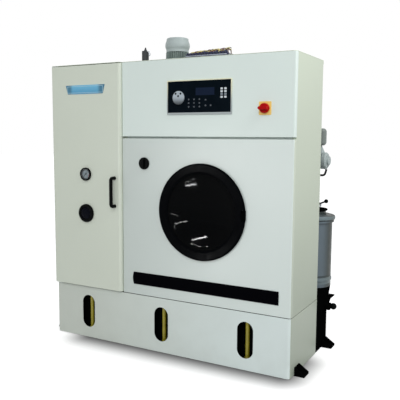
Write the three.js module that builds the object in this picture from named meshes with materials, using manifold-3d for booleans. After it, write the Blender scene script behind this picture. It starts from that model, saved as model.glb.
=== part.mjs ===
// Front-loading dry cleaning machine, in millimetres.
// +X is to the right seen from the front, +Y goes into the machine, +Z is up.
// The origin is on the floor, under the middle of the solvent tank.
import * as THREE from 'three';
import { mergeVertices } from 'three/addons/utils/BufferGeometryUtils.js';
import Module from 'manifold-3d';

const wasm = await Module();
wasm.setup();

// ---------------------------------------------------------------- driving dimensions
const cabinetWidth = 1690;
const cabinetDepth = 464;
const cabinetHeight = 1800;
const seat = 0.3;                 // gap between pieces that rest on each other
const sheet = 3;                  // folded sheet panels
const edgeRadius = 18;            // soft vertical edge of the front panels

const tankDepth = 700;
const tankHeight = 352.7;
const tankWall = 5;
const tankFrontSetback = 60;      // tank front wall behind the front plane
const tankSideSetback = 6;        // tank side inside the cabinet's side
const baffleHoleRadius = 60;
const cleanoutRadius = 120;
const cleanoutCoverRadius = 150;
const cleanoutCoverThickness = 10;
const baseCoverBottom = 5;
const baseCoverHeight = 349;

const footLength = 79;
const footReach = 66;
const footHeight = 50;
const footPlate = 8;
const footFrontInset = 74;        // front feet behind the front plane
const footRearInset = 22;         // rear feet before the tank's rear wall
const footHoleRadius = 9;

const slotWidth = 101;
const slotHeight = 218;
const slotCentreZ = 184;
const slotPitch = 571;
const sightTubeRadius = 12.5;
const sightTubeSetback = 38;
const sightTubeHalfLength = 140;
const sightFittingRadius = 17;

const columnDoorWidth = 557;
const columnDoorProud = 20;
const columnDoorBack = 21;        // rear edge of the column door behind the front plane
const columnDoorRadius = 20;
const panelSeam = 3;              // vertical joint between column and main panels
const panelDepth = 25;            // depth of the folded front panels
const sideFlange = 28;
const columnFlange = 60;
const columnDividerOverlap = 23;  // column cabinet behind the main panels
const doorBottomGap = 4;
const doorTopGap = 3.6;

const hingePinRadius = 5;
const hingePinClearance = 0.3;
const hingePinLength = 9;
const hingeInset = 12;
const hingePlateWidth = 53;
const hingeTabHeight = 45;

const lowerPanelTop = 1333;
const seamRise = 12;              // open seam between the lower and the upper front panel
const seamLipDrop = 40;           // lip of the upper panel behind the seam

const columnLineX = -560;         // gauge, sight port and plate stand on this line
const gaugeHeight = 1101;
const gaugeBezelRadius = 42;
const gaugeBarrelRadius = 35.5;
const gaugeDialRadius = 34.7;
const gaugeProud = 16;
const portHeight = 847;
const portRadius = 59;
const portGlassRadius = 39.7;
const portBarrelRadius = 45.5;
const portProud = 18;
const plateDrop = 152.4;            // plate's middle below the top of the column door
const plateTopWidth = 315;
const plateBottomWidth = 284;
const plateHeight = 56;
const plateThickness = 2;

const handleX = -332;
const handleHeight = 995;
const handleSpan = 177;
const handleReach = 40;
const handleBarRadius = 11;
const handleBendRadius = 16;

const controlX = 260;
const controlLift = 1.9;           // bezel above the middle of the upper panel
const controlWidth = 424;
const controlRise = 198;
const controlFrameSide = 5;
const controlFrameTop = 6;
const controlFrameBottom = 11;
const controlProud = 8;
const controlFaceThickness = 4;
const lcdWidth = 122;
const lcdRise = 43;
const lcdOffsetX = 41;
const lcdOffsetZ = 31;
const dialOffsetX = -133;
const dialOffsetZ = -2;
const dialRadius = 39.5;
const dialPitRadius = 6.5;
const dialStemRadius = 6;
const keyWidth = 15;
const keyRise = 11.5;
const keyColumnOffsetX = 148;
const keyColumnPitch = 24;
const keyRowTopZ = 43;
const keyRowPitch = 15.5;
const smallKeySize = 11;
const smallKeyOffsetX = -65;
const smallKeyPitchX = 35.5;
const smallKeyTopZ = -13;
const smallKeyPitchZ = 21;
const loneKeyOffsetX = 46;
const loneKeyPitchX = 33;
const loneKeyTopZ = -17;
const loneKeyPitchZ = 32;

const switchX = 671;
const switchDrop = 71;            // switch below the middle of the control panel
const switchPlateSide = 73;
const switchKnobRadius = 27;
const switchKnobDepth = 21;
const switchKnobReach = 45;
const switchShaftRadius = 8;

const doorX = 281;
const doorZ = 905;
const doorRadius = 287;
const doorThickness = 20;
const doorOverlap = 25;           // door rim over the edge of the panel's opening
const doorGlassRadius = 231.7;
const doorGlassThickness = 8;
const doorGlassDish = 27;
const doorKnuckleHalf = 29.7;
const doorPinRadius = 3;
const doorPinLength = 13;

const lockKnobX = -120;
const lockKnobZ = 1181;
const lockKnobRadius = 37;
const lockKnobReach = 28;
const lockShaftRadius = 11;
const lockCamReach = 46;
const lockGripWidth = 18;
const lockGripInset = 8;          // ends of the grip inside the knob's edge

const stripeWidth = 981;
const stripeHeight = 78;
const stripeCentreZ = 457;
const stripeThickness = 3;
const stripeBulge = 8;

const tubRadius = 430;
const tubWall = 4;
const tubFront = 56;
const tubBack = 468;
const tubCollarRadius = 234;
const tubCollarFront = 10;
const tubBackPlate = 6;
const tubLegOffset = 230;
const tubLegThickness = 10;
const tubLegFront = 130;
const tubLegBack = 390;
const tubFootWidth = 70;
const tubFootThickness = 8;
const tubBraceY = 255;
const tubBraceTop = -200;          // top of the cross brace, from the tub's axis
const drumRadius = 395;
const drumWall = 3;
const drumFront = 74;
const drumBack = 437;
const drumMouthRadius = 222;
const drumHoleRadius = 9;
const drumHoleRings = 3;
const drumHolesAround = 16;
const drumHubRadius = 70;
const drumHubLength = 18;
const lifterCount = 3;
const lifterHeight = 80;
const lifterWidth = 96;
const shaftRadius = 30;
const shaftSeatRadius = 28;
const shaftClearance = 0.4;
const bearingFlangeRadius = 115;
const bearingBarrelRadius = 62;

const beltToPost = 55;             // belt plane in front of the rear posts
const beltWidth = 18;
const beltThickness = 12;
const drumPulleyPitch = 209;
const motorPulleyPitch = 46;
const pulleyWidth = 32;
const pulleySpokeHoles = 6;
const pulleyHubRadius = 54;
const driveMotorX = -155;
const driveMotorZ = 455;
const driveMotorRadius = 72;
const driveMotorLength = 260;
const driveMotorToBelt = 42;
const driveMotorFins = 10;
const driveFootInset = 60;
const driveFootWidth = 160;
const driveFootLength = 40;
const driveFootThickness = 10;
const drivePedestalWidth = 104;
const terminalBoxReach = 28;
const terminalBoxLength = 80;
const terminalBoxHeight = 70;
const driveShaftRadius = 14;

const filterX = 691;
const filterSetback = 132;         // filter axis behind the tank's rear wall
const filterRadius = 126;
const filterBottom = 350;
const filterCupHeight = 88;       // dark cup between the shelf and the filter
const filterCupTaper = 26;
const filterBandRise = 42;        // clamp band above the filter's lower end
const filterBandHeight = 13;
const filterTop = 800;
const filterLidRadius = 145;
const filterBossRadius = 82;
const filterBossTop = 858;
const handwheelRadius = 94;
const handwheelThickness = 12;
const shelfThickness = 8;
const bracketDrop = 162;          // bracket's wall below the shelf's top

const postSide = 40;
const postX = 715;
const postLeftX = -700;
const postInset = 43;              // posts in front of the tank's rear wall
const rearUnitOffset = 18;         // pump, air receiver and lever valve behind the right post's axis
const postTop = 1500;
const postFootSide = 100;
const postFootThickness = 8;
const lowBeamHeight = 620;

const pumpZ = 1198;
const pumpRadius = 53;
const pumpRight = 825;
const pumpLeft = 746;
const pumpEndRadius = 29;
const pumpEndLength = 12.4;
const pumpPipeRadius = 7;
const pumpPipeX = 817;
const pumpPipeLean = 10;
const pumpPipeZ = 1105;
const pumpConeHeight = 38;
const pumpConeRadius = 24;
const receiverX = 781;
const receiverRadius = 31;
const receiverBottom = 1295;
const receiverTop = 1403;
const receiverArmDrop = 39;
const receiverArmHeight = 24;
const receiverTubeRadius = 5;
const leverValveX = 766;
const leverValveZ = 915;
const leverLength = 74;
const leverThickness = 10;
const leverRise = 23;             // degrees above level at rest
const leverBallRadius = 13;
const drainInset = 50;             // drain in front of the tank's rear wall
const drainZ = 266;
const drainRadius = 19;
const drainReach = 40;
const drainOutletDrop = 27;
const drainKnobRadius = 21;
const drainStemRadius = 8;

const fanX = 44;
const fanY = 120;
const fanShaftRadius = 14;
const fanShaftHole = 30;
const fanShaftDrop = 60;
const fanStatorRadius = 58;
const fanFinRadius = 69.5;
const fanFinCount = 14;
const fanBaseRadius = 80;
const fanBaseThickness = 8;
const fanStatorHeight = 50;
const fanNeckInset = 10.2;        // neck inside the cowl's widest part
const fanNeckHeight = 22;
const fanCowlRadius = 74.2;
const fanCowlHeight = 83;
const scrollRadius = 76;
const scrollGrowth = 14;
const scrollHeight = 150;
const ductWidth = 120;
const ductDepth = 120;
const ductFootRise = 200;         // duct's lower end above the tub's axis, before it is cut to the tub

const bankLeft = 147;
const bankPitch = 19.4;
const bankValves = 14;
const bankY = 58;
const bankRailDepth = 46;
const bankRailHeight = 12;
const bankValveHeight = 18;
const bankValveGap = 4;
const tubeRadius = 3;
const tubeReach = 52;
const tubeRise = 13;
const trunkHeight = 20;
const inletX = -150;
const inletY = 62;
const inletHeight = 65;
const inletPlugHeight = 20;
const inletSpoutReach = 29;
const inletSpoutDrop = 24;

const stillX = columnLineX;
const stillY = 245;
const stillRadius = 165;
const stillBottom = 520;
const stillTop = 1230;
const stillNeckRadius = 48;
const stillNeckFront = 60;
const stillDomeRise = 62;
const stillOutletRise = 124;
const stillLegWidth = 40;

// ---------------------------------------------------------------- derived places
const frontY = -tankDepth / 2;
const halfWidth = cabinetWidth / 2;
const columnRight = -halfWidth + columnDoorWidth;
const mainLeft = columnRight + panelSeam;
const panelBottom = tankHeight + seat;
const panelTop = cabinetHeight - sheet - seat;
const flangeFront = panelDepth + seat;
const columnDoorBottom = panelBottom + doorBottomGap - seat;
const columnDoorTop = panelTop - doorTopGap + seat;
const platePlaceHeight = columnDoorTop - plateDrop;
const controlHeight = (lowerPanelTop + seamRise + panelTop) / 2 + controlLift;
const controlHoleLift = (controlFrameBottom - controlFrameTop) / 2;
const switchHeight = controlHeight - switchDrop;
const fanStatorTop = cabinetHeight + seat + fanStatorHeight;
const fanCowlTop = fanStatorTop + fanCowlHeight;
const fanNeckRadius = fanCowlRadius - fanNeckInset;
const hingeX = -halfWidth + hingeInset;
const doorAxisX = doorX + doorRadius - doorThickness / 2;
const doorBackY = -0.5;
const doorAxisY = doorBackY - doorThickness / 2;
const tankSideX = halfWidth - tankSideSetback;
const filterY = tankDepth + filterSetback;
const postY = tankDepth - postInset;
const rearUnitY = postY + rearUnitOffset;
const drainY = tankDepth - drainInset;
const beltPlane = postY - beltToPost;
const driveMotorBack = beltPlane - driveMotorToBelt;
const driveMotorFront = driveMotorBack - driveMotorLength;

// ---------------------------------------------------------------- solids

// A closed manifold solid from a three.js geometry whose faces point outwards.
function solid(geometry) {
  const bare = geometry.clone();
  bare.deleteAttribute('normal');
  bare.deleteAttribute('uv');
  const merged = mergeVertices(bare, 1e-4);
  const position = merged.attributes.position;
  const index = merged.index.array;
  const triangles = [];
  let volume = 0;
  const a = new THREE.Vector3();
  const b = new THREE.Vector3();
  const c = new THREE.Vector3();
  for (let i = 0; i < index.length; i += 3) {
    const [p, q, r] = [index[i], index[i + 1], index[i + 2]];
    if (p === q || q === r || r === p) continue;
    triangles.push(p, q, r);
    a.fromBufferAttribute(position, p);
    b.fromBufferAttribute(position, q);
    c.fromBufferAttribute(position, r);
    volume += a.dot(b.cross(c));
  }
  if (volume < 0) triangles.reverse();
  const mesh = new wasm.Mesh({
    numProp: 3,
    vertProperties: new Float32Array(position.array),
    triVerts: new Uint32Array(triangles),
  });
  return new wasm.Manifold(mesh);
}

function geometryOf(body) {
  const mesh = body.getMesh();
  const geometry = new THREE.BufferGeometry();
  geometry.setAttribute('position', new THREE.BufferAttribute(new Float32Array(mesh.vertProperties), 3));
  geometry.setIndex(new THREE.BufferAttribute(new Uint32Array(mesh.triVerts), 1));
  geometry.computeVertexNormals();
  return geometry;
}

const unite = (...bodies) => bodies.reduce((whole, body) => whole.add(body));
const cut = (body, ...tools) => tools.reduce((rest, tool) => rest.subtract(tool), body);

function block(x0, x1, y0, y1, z0, z1) {
  const geometry = new THREE.BoxGeometry(x1 - x0, y1 - y0, z1 - z0);
  return solid(geometry.translate((x0 + x1) / 2, (y0 + y1) / 2, (z0 + z1) / 2));
}

// A box given by its centre in X and Z and its reach in Y.
function slab(x, z, width, height, y0, y1) {
  return block(x - width / 2, x + width / 2, y0, y1, z - height / 2, z + height / 2);
}

// Facets round a circle: more for a larger one, always a multiple of four.
const facets = (radius) => 4 * Math.round(1 + 0.33 * Math.sqrt(radius));

// Corner radius of a faceted hole whose flats stand at the given radius.
const flatsAt = (radius, segments = facets(radius)) => radius / Math.cos(Math.PI / segments);

const widest = (profile) => Math.max(...profile.map(([radius]) => radius));

// Revolved about an axis through the origin: the profile is [radius, distance along the axis].
function revolve(profile, axis = 'y', segments = facets(widest(profile))) {
  const points = profile.map(([radius, along]) => new THREE.Vector2(radius, along));
  const geometry = new THREE.LatheGeometry(points, segments);
  if (axis === 'x') geometry.rotateZ(-Math.PI / 2);
  if (axis === 'z') geometry.rotateX(Math.PI / 2);
  return solid(geometry);
}

// A ring or tube section closes on itself.
const ring = (profile, axis, segments) => revolve([...profile, profile[0]], axis, segments);

function rod(radius, from, to, axis = 'y', segments = facets(radius)) {
  return revolve([[0, from], [radius, from], [radius, to], [0, to]], axis, segments);
}

// A cutter for a round hole that leaves the given radius free.
function bore(radius, from, to, axis = 'y', segments = facets(radius)) {
  return rod(flatsAt(radius, segments), from, to, axis, segments);
}

// An outline in plan (X, Y) raised along Z.
function raised(shape, z0, z1) {
  const depth = z1 - z0;
  const geometry = new THREE.ExtrudeGeometry(shape, { depth, bevelEnabled: false, curveSegments: 3 });
  return solid(geometry.translate(0, 0, z0));
}

// An outline on the front face (X, Z) carried from y0 to y1.
function through(shape, y0, y1, curveSegments = 2) {
  const geometry = new THREE.ExtrudeGeometry(shape, { depth: y1 - y0, bevelEnabled: false, curveSegments });
  return solid(geometry.rotateX(Math.PI / 2).translate(0, y1, 0));
}

// A path through listed points, with one cross-section at each.
class PointPath extends THREE.Curve {
  constructor(points) {
    super();
    this.points = points;
  }

  getPointAt(u) {
    return this.points[Math.round(u * (this.points.length - 1))].clone();
  }

  getTangentAt(u) {
    const last = this.points.length - 1;
    const here = Math.round(u * last);
    const [before, after] = [this.points[Math.max(here - 1, 0)], this.points[Math.min(here + 1, last)]];
    return after.clone().sub(before).normalize();
  }
}

// A round bar along straight runs and rounded corners.
function bentBar(corners, radius, bend, sides = 8, bendSteps = 3) {
  const points = [corners[0]];
  for (let i = 1; i < corners.length - 1; i += 1) {
    const corner = corners[i];
    const before = corner.clone().add(corners[i - 1].clone().sub(corner).setLength(bend));
    const after = corner.clone().add(corners[i + 1].clone().sub(corner).setLength(bend));
    const curve = new THREE.QuadraticBezierCurve3(before, corner, after);
    points.push(...curve.getPoints(bendSteps));
  }
  points.push(corners[corners.length - 1]);
  const section = new THREE.Shape(ngon(radius, sides));
  const options = { steps: points.length - 1, extrudePath: new PointPath(points), bevelEnabled: false };
  return solid(new THREE.ExtrudeGeometry(section, options));
}

const ball = (radius, detail = 1) => solid(new THREE.IcosahedronGeometry(radius, detail));

function ngon(radius, sides) {
  return Array.from({ length: sides }, (_, i) => {
    const angle = (2 * Math.PI * i) / sides;
    return new THREE.Vector2(radius * Math.cos(angle), radius * Math.sin(angle));
  });
}

function roundedRectangle(width, height, radius) {
  const [w, h] = [width / 2, height / 2];
  const shape = new THREE.Shape();
  shape.moveTo(-w + radius, -h);
  shape.lineTo(w - radius, -h);
  shape.absarc(w - radius, -h + radius, radius, -Math.PI / 2, 0);
  shape.lineTo(w, h - radius);
  shape.absarc(w - radius, h - radius, radius, 0, Math.PI / 2);
  shape.lineTo(-w + radius, h);
  shape.absarc(-w + radius, h - radius, radius, Math.PI / 2, Math.PI);
  shape.lineTo(-w, -h + radius);
  shape.absarc(-w + radius, -h + radius, radius, Math.PI, 1.5 * Math.PI);
  return shape;
}

// Plan outline of a panel: straight back, two front corners rounded.
function panelPlan(left, right, front, back, leftRadius, rightRadius) {
  const shape = new THREE.Shape();
  shape.moveTo(left + leftRadius, front);
  shape.lineTo(right - rightRadius, front);
  shape.absarc(right - rightRadius, front + rightRadius, rightRadius, -Math.PI / 2, 0);
  shape.lineTo(right, back);
  shape.lineTo(left, back);
  shape.lineTo(left, front + leftRadius);
  shape.absarc(left + leftRadius, front + leftRadius, leftRadius, Math.PI, 1.5 * Math.PI);
  return shape;
}

// A folded panel, open at the back, with a flange all round.
function foldedPanel(left, right, front, back, z0, z1, leftRadius, rightRadius) {
  const outer = raised(panelPlan(left, right, front, back, leftRadius, rightRadius), z0, z1);
  const inner = panelPlan(
    left + sheet, right - sheet, front + sheet, back + 1,
    Math.max(leftRadius - sheet, 1), Math.max(rightRadius - sheet, 1),
  );
  return cut(outer, raised(inner, z0 + sheet, z1 - sheet));
}

// ---------------------------------------------------------------- materials and nodes
const finish = {
  ivory: [0xcdd3cc, 0.45, 0.1],
  ivoryShade: [0xbfc5bb, 0.45, 0.1],
  blackPaint: [0x0b0c0d, 0.5, 0.2],
  blackPlastic: [0x08090a, 0.35, 0],
  brass: [0x8f7a2c, 0.4, 0.8],
  steel: [0xb9bec2, 0.35, 0.9],
  cast: [0x7f8784, 0.55, 0.5],
  motorGrey: [0xb7c1bf, 0.5, 0.2],
  slate: [0x636c76, 0.4, 0.4],
  smoked: [0x06070a, 0.08, 0],
  clear: [0xdfe8ea, 0.05, 0],
  rubber: [0x101010, 0.8, 0],
  blue: [0x3c88a6, 0.4, 0],
  dialGrey: [0xa9b6bd, 0.5, 0],
  navy: [0x10131c, 0.3, 0],
  key: [0xd9dde0, 0.5, 0],
  yellow: [0xe9b81c, 0.4, 0],
  red: [0xb10f14, 0.4, 0],
};

const machine = new THREE.Group();
const cabinet = new THREE.Group();
cabinet.position.y = frontY;
machine.add(cabinet);

// Adds a named piece to the cabinet group; its place is its mesh's position.
function piece(name, look, body, x = 0, y = 0, z = 0) {
  const [color, roughness, metalness] = finish[look];
  const material = new THREE.MeshStandardMaterial({ color, roughness, metalness });
  const mesh = new THREE.Mesh(geometryOf(body), material);
  mesh.name = name;
  mesh.position.set(x, y, z);
  cabinet.add(mesh);
  return mesh;
}

// ---------------------------------------------------------------- base
// One bolt-down foot: a plate with two gussets, reaching out from a side wall at x = 0.
function footLug() {
  const gusset = new THREE.Shape([
    new THREE.Vector2(-1, 0),
    new THREE.Vector2(footReach, 0),
    new THREE.Vector2(footReach, footPlate + 4),
    new THREE.Vector2(10, footHeight),
    new THREE.Vector2(-1, footHeight),
  ]);
  const plate = block(-1, footReach, -footLength / 2, footLength / 2, 0, footPlate);
  const near = through(gusset, -footLength / 2, -footLength / 2 + footPlate);
  const far = through(gusset, footLength / 2 - footPlate, footLength / 2);
  const hole = bore(footHoleRadius, -1, footPlate + 1, 'z').translate([footReach * 0.62, 0, 0]);
  return cut(unite(plate, near, far), hole);
}

const footCentres = [footFrontInset + footLength / 2, tankDepth - footRearInset - footLength / 2];

function baseTank() {
  const [side, wall] = [tankSideX, tankWall];
  const back = tankDepth;
  let tank = block(-side, side, tankFrontSetback, back, 0, tankHeight);
  const bays = [-side + wall, -side / 3, side / 3, side];
  for (let bay = 0; bay < 3; bay += 1) {
    const room = block(
      bays[bay], bays[bay + 1] - wall, tankFrontSetback + wall, back - wall, wall, tankHeight - wall,
    );
    tank = cut(tank, room);
  }
  for (const x of [-side / 3, side / 3]) {
    const flowHole = bore(baffleHoleRadius, -2 * wall, 2 * wall, 'x', 12);
    tank = cut(tank, flowHole.translate([x, (tankFrontSetback + back) / 2, tankHeight / 2]));
  }
  const cleanout = bore(cleanoutRadius, back - 2 * wall, back + 1);
  tank = cut(tank, cleanout.translate([0, 0, tankHeight / 2]));
  for (const y of footCentres) {
    const lug = footLug();
    tank = unite(tank, lug.translate([side, y, 0]), lug.mirror([1, 0, 0]).translate([-side, y, 0]));
  }
  return tank;
}

function stadium(width, height) {
  return roundedRectangle(width, height, width / 2 - 0.01);
}

function baseCover() {
  const outer = panelPlan(-halfWidth, halfWidth, 0, cabinetDepth, edgeRadius, edgeRadius);
  const inner = panelPlan(
    -halfWidth + sheet, halfWidth - sheet, sheet, cabinetDepth + 1, edgeRadius - sheet, edgeRadius - sheet,
  );
  let cover = cut(raised(outer, baseCoverBottom, baseCoverHeight), raised(inner, 0, baseCoverHeight + 1));
  for (const bay of [-1, 0, 1]) {
    const slot = through(stadium(slotWidth, slotHeight), -1, sheet + 1);
    cover = cut(cover, slot.translate([bay * slotPitch, 0, slotCentreZ]));
  }
  const notchHalf = footLength / 2 + 1;
  const notch = block(
    -halfWidth - 1, halfWidth + 1, footCentres[0] - notchHalf, footCentres[0] + notchHalf,
    0, footHeight + seat,
  );
  return cut(cover, notch);
}

// A level tube between two fittings screwed into the tank's front wall.
function sightTube() {
  const tube = rod(sightTubeRadius, -sightTubeHalfLength, sightTubeHalfLength, 'z', 12);
  let body = tube;
  for (const end of [-1, 1]) {
    const z = end * (sightTubeHalfLength - sightFittingRadius);
    const collar = rod(sightFittingRadius, -12, 12, 'z', 6).translate([0, 0, z]);
    const stub = rod(11, 0, tankFrontSetback - sightTubeSetback - seat, 'y', 6).translate([0, 0, z]);
    body = unite(body, collar, stub);
  }
  return body;
}

function cleanoutCover() {
  let cover = rod(cleanoutCoverRadius, seat, seat + cleanoutCoverThickness);
  for (let i = 0; i < 8; i += 1) {
    const angle = (2 * Math.PI * (i + 0.5)) / 8;
    const bolt = rod(9, cleanoutCoverThickness - 1, cleanoutCoverThickness + 7, 'y', 6);
    const radius = cleanoutCoverRadius - 15;
    cover = unite(cover, bolt.translate([radius * Math.cos(angle), 0, radius * Math.sin(angle)]));
  }
  return cover;
}

function drainValve() {
  const inner = flatsAt(drainStemRadius + hingePinClearance);
  const body = ring([
    [inner, 0], [drainRadius, 0], [drainRadius, 14], [drainRadius + 2, 18], [drainRadius + 2, drainReach],
    [inner, drainReach],
  ], 'x', 12);
  const spout = rod(12, -drainOutletDrop, 0, 'z', 8).translate([drainReach - 14, 0, 0]);
  const outlet = cut(spout, bore(drainStemRadius + 2, 0, 60, 'x'));
  return unite(body, outlet);
}

// The knob's stem turns inside the valve's bore.
function drainKnob() {
  const stem = rod(drainStemRadius, 8, drainReach + 4, 'x');
  const grip = ball(drainKnobRadius).translate([drainReach + drainKnobRadius - 3, 0, 0]);
  return unite(stem, cut(grip, block(-9, drainReach + 1, -40, 40, -40, 40)));
}

// ---------------------------------------------------------------- cabinet
function sidePanel() {
  const left = halfWidth - sideFlange;
  const outer = block(left, halfWidth, flangeFront, cabinetDepth, panelBottom, panelTop);
  const inner = block(
    left - 1, halfWidth - sheet, flangeFront + sheet, cabinetDepth - sheet,
    panelBottom + sheet, panelTop - sheet,
  );
  return cut(outer, inner);
}

// Left cabinet: side wall, rear wall and divider folded from one sheet, with front flanges.
function columnCabinet() {
  const right = mainLeft + columnDividerOverlap;
  const outer = block(-halfWidth, right, flangeFront, cabinetDepth, panelBottom, panelTop);
  const inner = block(
    -halfWidth + sheet, right - sheet, flangeFront + sheet, cabinetDepth - sheet,
    panelBottom - 1, panelTop + 1,
  );
  const mouth = block(
    -halfWidth + columnFlange, mainLeft - panelDepth, flangeFront - 1, flangeFront + sheet + 1,
    panelBottom - 1, panelTop + 1,
  );
  return cut(outer, inner, mouth);
}

function topPanel() {
  const main = panelPlan(columnRight - 1, halfWidth, 0, cabinetDepth + sheet + seat, 1, edgeRadius);
  const column = panelPlan(
    -halfWidth, columnRight, -columnDoorProud, cabinetDepth + sheet + seat,
    columnDoorRadius, columnDoorRadius,
  );
  const bottom = cabinetHeight - sheet;
  const top = unite(raised(main, bottom, cabinetHeight), raised(column, bottom, cabinetHeight));
  const hem = block(
    -halfWidth, halfWidth, cabinetDepth + seat, cabinetDepth + seat + sheet,
    cabinetHeight - 26, cabinetHeight,
  );
  const shaftHole = bore(fanShaftHole, bottom - 1, cabinetHeight + 1, 'z');
  return cut(unite(top, hem), shaftHole.translate([fanX, fanY, 0]));
}

const controlHole = [controlWidth - 2 * controlFrameSide, controlRise - controlFrameTop - controlFrameBottom];

function upperFrontPanel() {
  const bottom = lowerPanelTop + seamRise;
  const folded = foldedPanel(mainLeft, halfWidth, 0, panelDepth, bottom, panelTop, 4, edgeRadius);
  const lip = block(
    mainLeft + columnDividerOverlap + seat, halfWidth - sideFlange - seat,
    panelDepth - 1, flangeFront + sheet, bottom - seamLipDrop, bottom + sheet,
  );
  const lowerEdge = block(-halfWidth, halfWidth, 0, flangeFront, 0, bottom - 0.01);
  const panel = unite(folded, cut(lip, lowerEdge));
  const holeZ = controlHeight + controlHoleLift;
  const controlCut = slab(controlX, holeZ, controlHole[0] - 10, controlHole[1] - 10, -1, sheet + 1);
  const switchCut = bore(switchShaftRadius + 1, -1, sheet + 1).translate([switchX, 0, switchHeight]);
  return cut(panel, controlCut, switchCut);
}

function lowerFrontPanel() {
  const panel = foldedPanel(mainLeft, halfWidth, 0, panelDepth, panelBottom, lowerPanelTop, 4, edgeRadius);
  const doorCut = bore(doorRadius - doorOverlap, -1, sheet + 1).translate([doorX, 0, doorZ]);
  const lockCut = bore(lockShaftRadius + 1, -1, sheet + 1).translate([lockKnobX, 0, lockKnobZ]);
  return cut(panel, doorCut, lockCut);
}

function accentStripe() {
  const [w, h] = [stripeWidth / 2, stripeHeight / 2];
  const shape = new THREE.Shape();
  shape.moveTo(w, -h);
  shape.lineTo(w, h);
  shape.lineTo(-w + stripeBulge, h);
  shape.quadraticCurveTo(-w - stripeBulge, 0, -w + stripeBulge, -h);
  return through(shape, -stripeThickness - seat, -seat);
}

// ---------------------------------------------------------------- column door and what it carries
function columnDoor() {
  const door = foldedPanel(
    -halfWidth, columnRight, -columnDoorProud, columnDoorBack, columnDoorBottom, columnDoorTop,
    columnDoorRadius, columnDoorRadius,
  );
  const pinBore = bore(hingePinRadius + hingePinClearance, columnDoorBottom - 1, columnDoorTop + 1, 'z');
  const front = -columnDoorProud;
  const gaugeCut = bore(gaugeBarrelRadius + seat, front - 1, front + sheet + 1);
  const portCut = bore(portBarrelRadius + seat, front - 1, front + sheet + 1);
  return cut(
    door, pinBore.translate([hingeX, 0, 0]),
    gaugeCut.translate([columnLineX, 0, gaugeHeight]), portCut.translate([columnLineX, 0, portHeight]),
  );
}

// Pivot bracket: a plate with an upright pin and a tab bolted to the cabinet's front flange.
function pivotBracket(plateThickness) {
  const right = hingePlateWidth - hingeInset;
  const plate = block(-hingeInset + 2, right, -hingePinRadius - 5, panelDepth, 0, plateThickness);
  const tab = block(13, right, columnDoorBack + 1, panelDepth, 0, hingeTabHeight);
  const pin = rod(hingePinRadius, plateThickness - 1, plateThickness + hingePinLength, 'z');
  return unite(plate, tab, pin);
}

function columnHandle() {
  const [top, foot] = [handleSpan / 2, -seat];
  return bentBar(
    [
      new THREE.Vector3(0, foot, -top), new THREE.Vector3(0, -handleReach, -top),
      new THREE.Vector3(0, -handleReach, top), new THREE.Vector3(0, foot, top),
    ],
    handleBarRadius, handleBendRadius, 8,
  );
}

// Plain plate, wider at the top.
function frontPlate() {
  const [top, bottom, half] = [plateTopWidth / 2, plateBottomWidth / 2, plateHeight / 2];
  const outline = new THREE.Shape([
    new THREE.Vector2(-bottom, -half), new THREE.Vector2(bottom, -half),
    new THREE.Vector2(top, half), new THREE.Vector2(-top, half),
  ]);
  return through(outline, -plateThickness - seat, -seat);
}

const gaugeFacets = 16;

function gaugeCase() {
  const face = -gaugeProud;
  const pocket = flatsAt(gaugeDialRadius + seat, gaugeFacets);
  return revolve([
    [0, 30], [gaugeBarrelRadius, 30], [gaugeBarrelRadius, -seat], [gaugeBezelRadius, -seat],
    [gaugeBezelRadius, face + 3], [gaugeBezelRadius - 3, face], [pocket, face], [pocket, face + 12],
    [0, face + 12],
  ], 'y', gaugeFacets);
}

const gaugeFloor = -gaugeProud + 12;
const gaugeDialCorner = flatsAt(gaugeDialRadius, gaugeFacets);

function gaugeDial() {
  const back = gaugeFloor - seat;
  return revolve([
    [0, back], [gaugeDialCorner, back], [gaugeDialCorner, back - 1.4], [2, back - 1.4],
    [2, back - 4.5], [0, back - 4.5],
  ], 'y', gaugeFacets);
}

// Points at the lower left, which is zero on the scale.
function gaugeNeedle() {
  const shape = new THREE.Shape([
    new THREE.Vector2(-10, -2.2), new THREE.Vector2(28, -0.8),
    new THREE.Vector2(28, 0.8), new THREE.Vector2(-10, 2.2),
  ]);
  const pointer = through(shape, 0, 1.2);
  const hub = rod(5, 0, 1.8);
  return cut(unite(pointer, hub), bore(2 + hingePinClearance, -1, 3)).rotate([0, 135, 0]);
}

function gaugeLens() {
  return rod(gaugeDialCorner, -gaugeProud + 2.5, -gaugeProud + 5, 'y', gaugeFacets);
}

const portFacets = 16;

function portRing() {
  const face = -portProud;
  const mouth = flatsAt(portGlassRadius + seat, portFacets);
  return ring([
    [mouth - 4, 28], [portBarrelRadius, 28], [portBarrelRadius, -seat], [portRadius, -seat],
    [portRadius, face + 6], [portRadius - 5, face], [mouth, face + 2], [mouth, face + 12],
    [mouth - 4, face + 12],
  ], 'y', portFacets);
}

function portGlass() {
  const seatY = -portProud + 12 - seat;
  const edge = flatsAt(portGlassRadius, portFacets);
  return revolve([
    [0, seatY], [edge, seatY], [edge, seatY - 5], [edge - 16, seatY - 9], [0, seatY - 10],
  ], 'y', portFacets);
}

// ---------------------------------------------------------------- control panel and main switch
function controlBezel() {
  const outer = slab(0, 0, controlWidth, controlRise, -controlProud, -seat);
  return cut(outer, slab(0, controlHoleLift, controlHole[0], controlHole[1], -controlProud - 1, 1));
}

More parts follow.
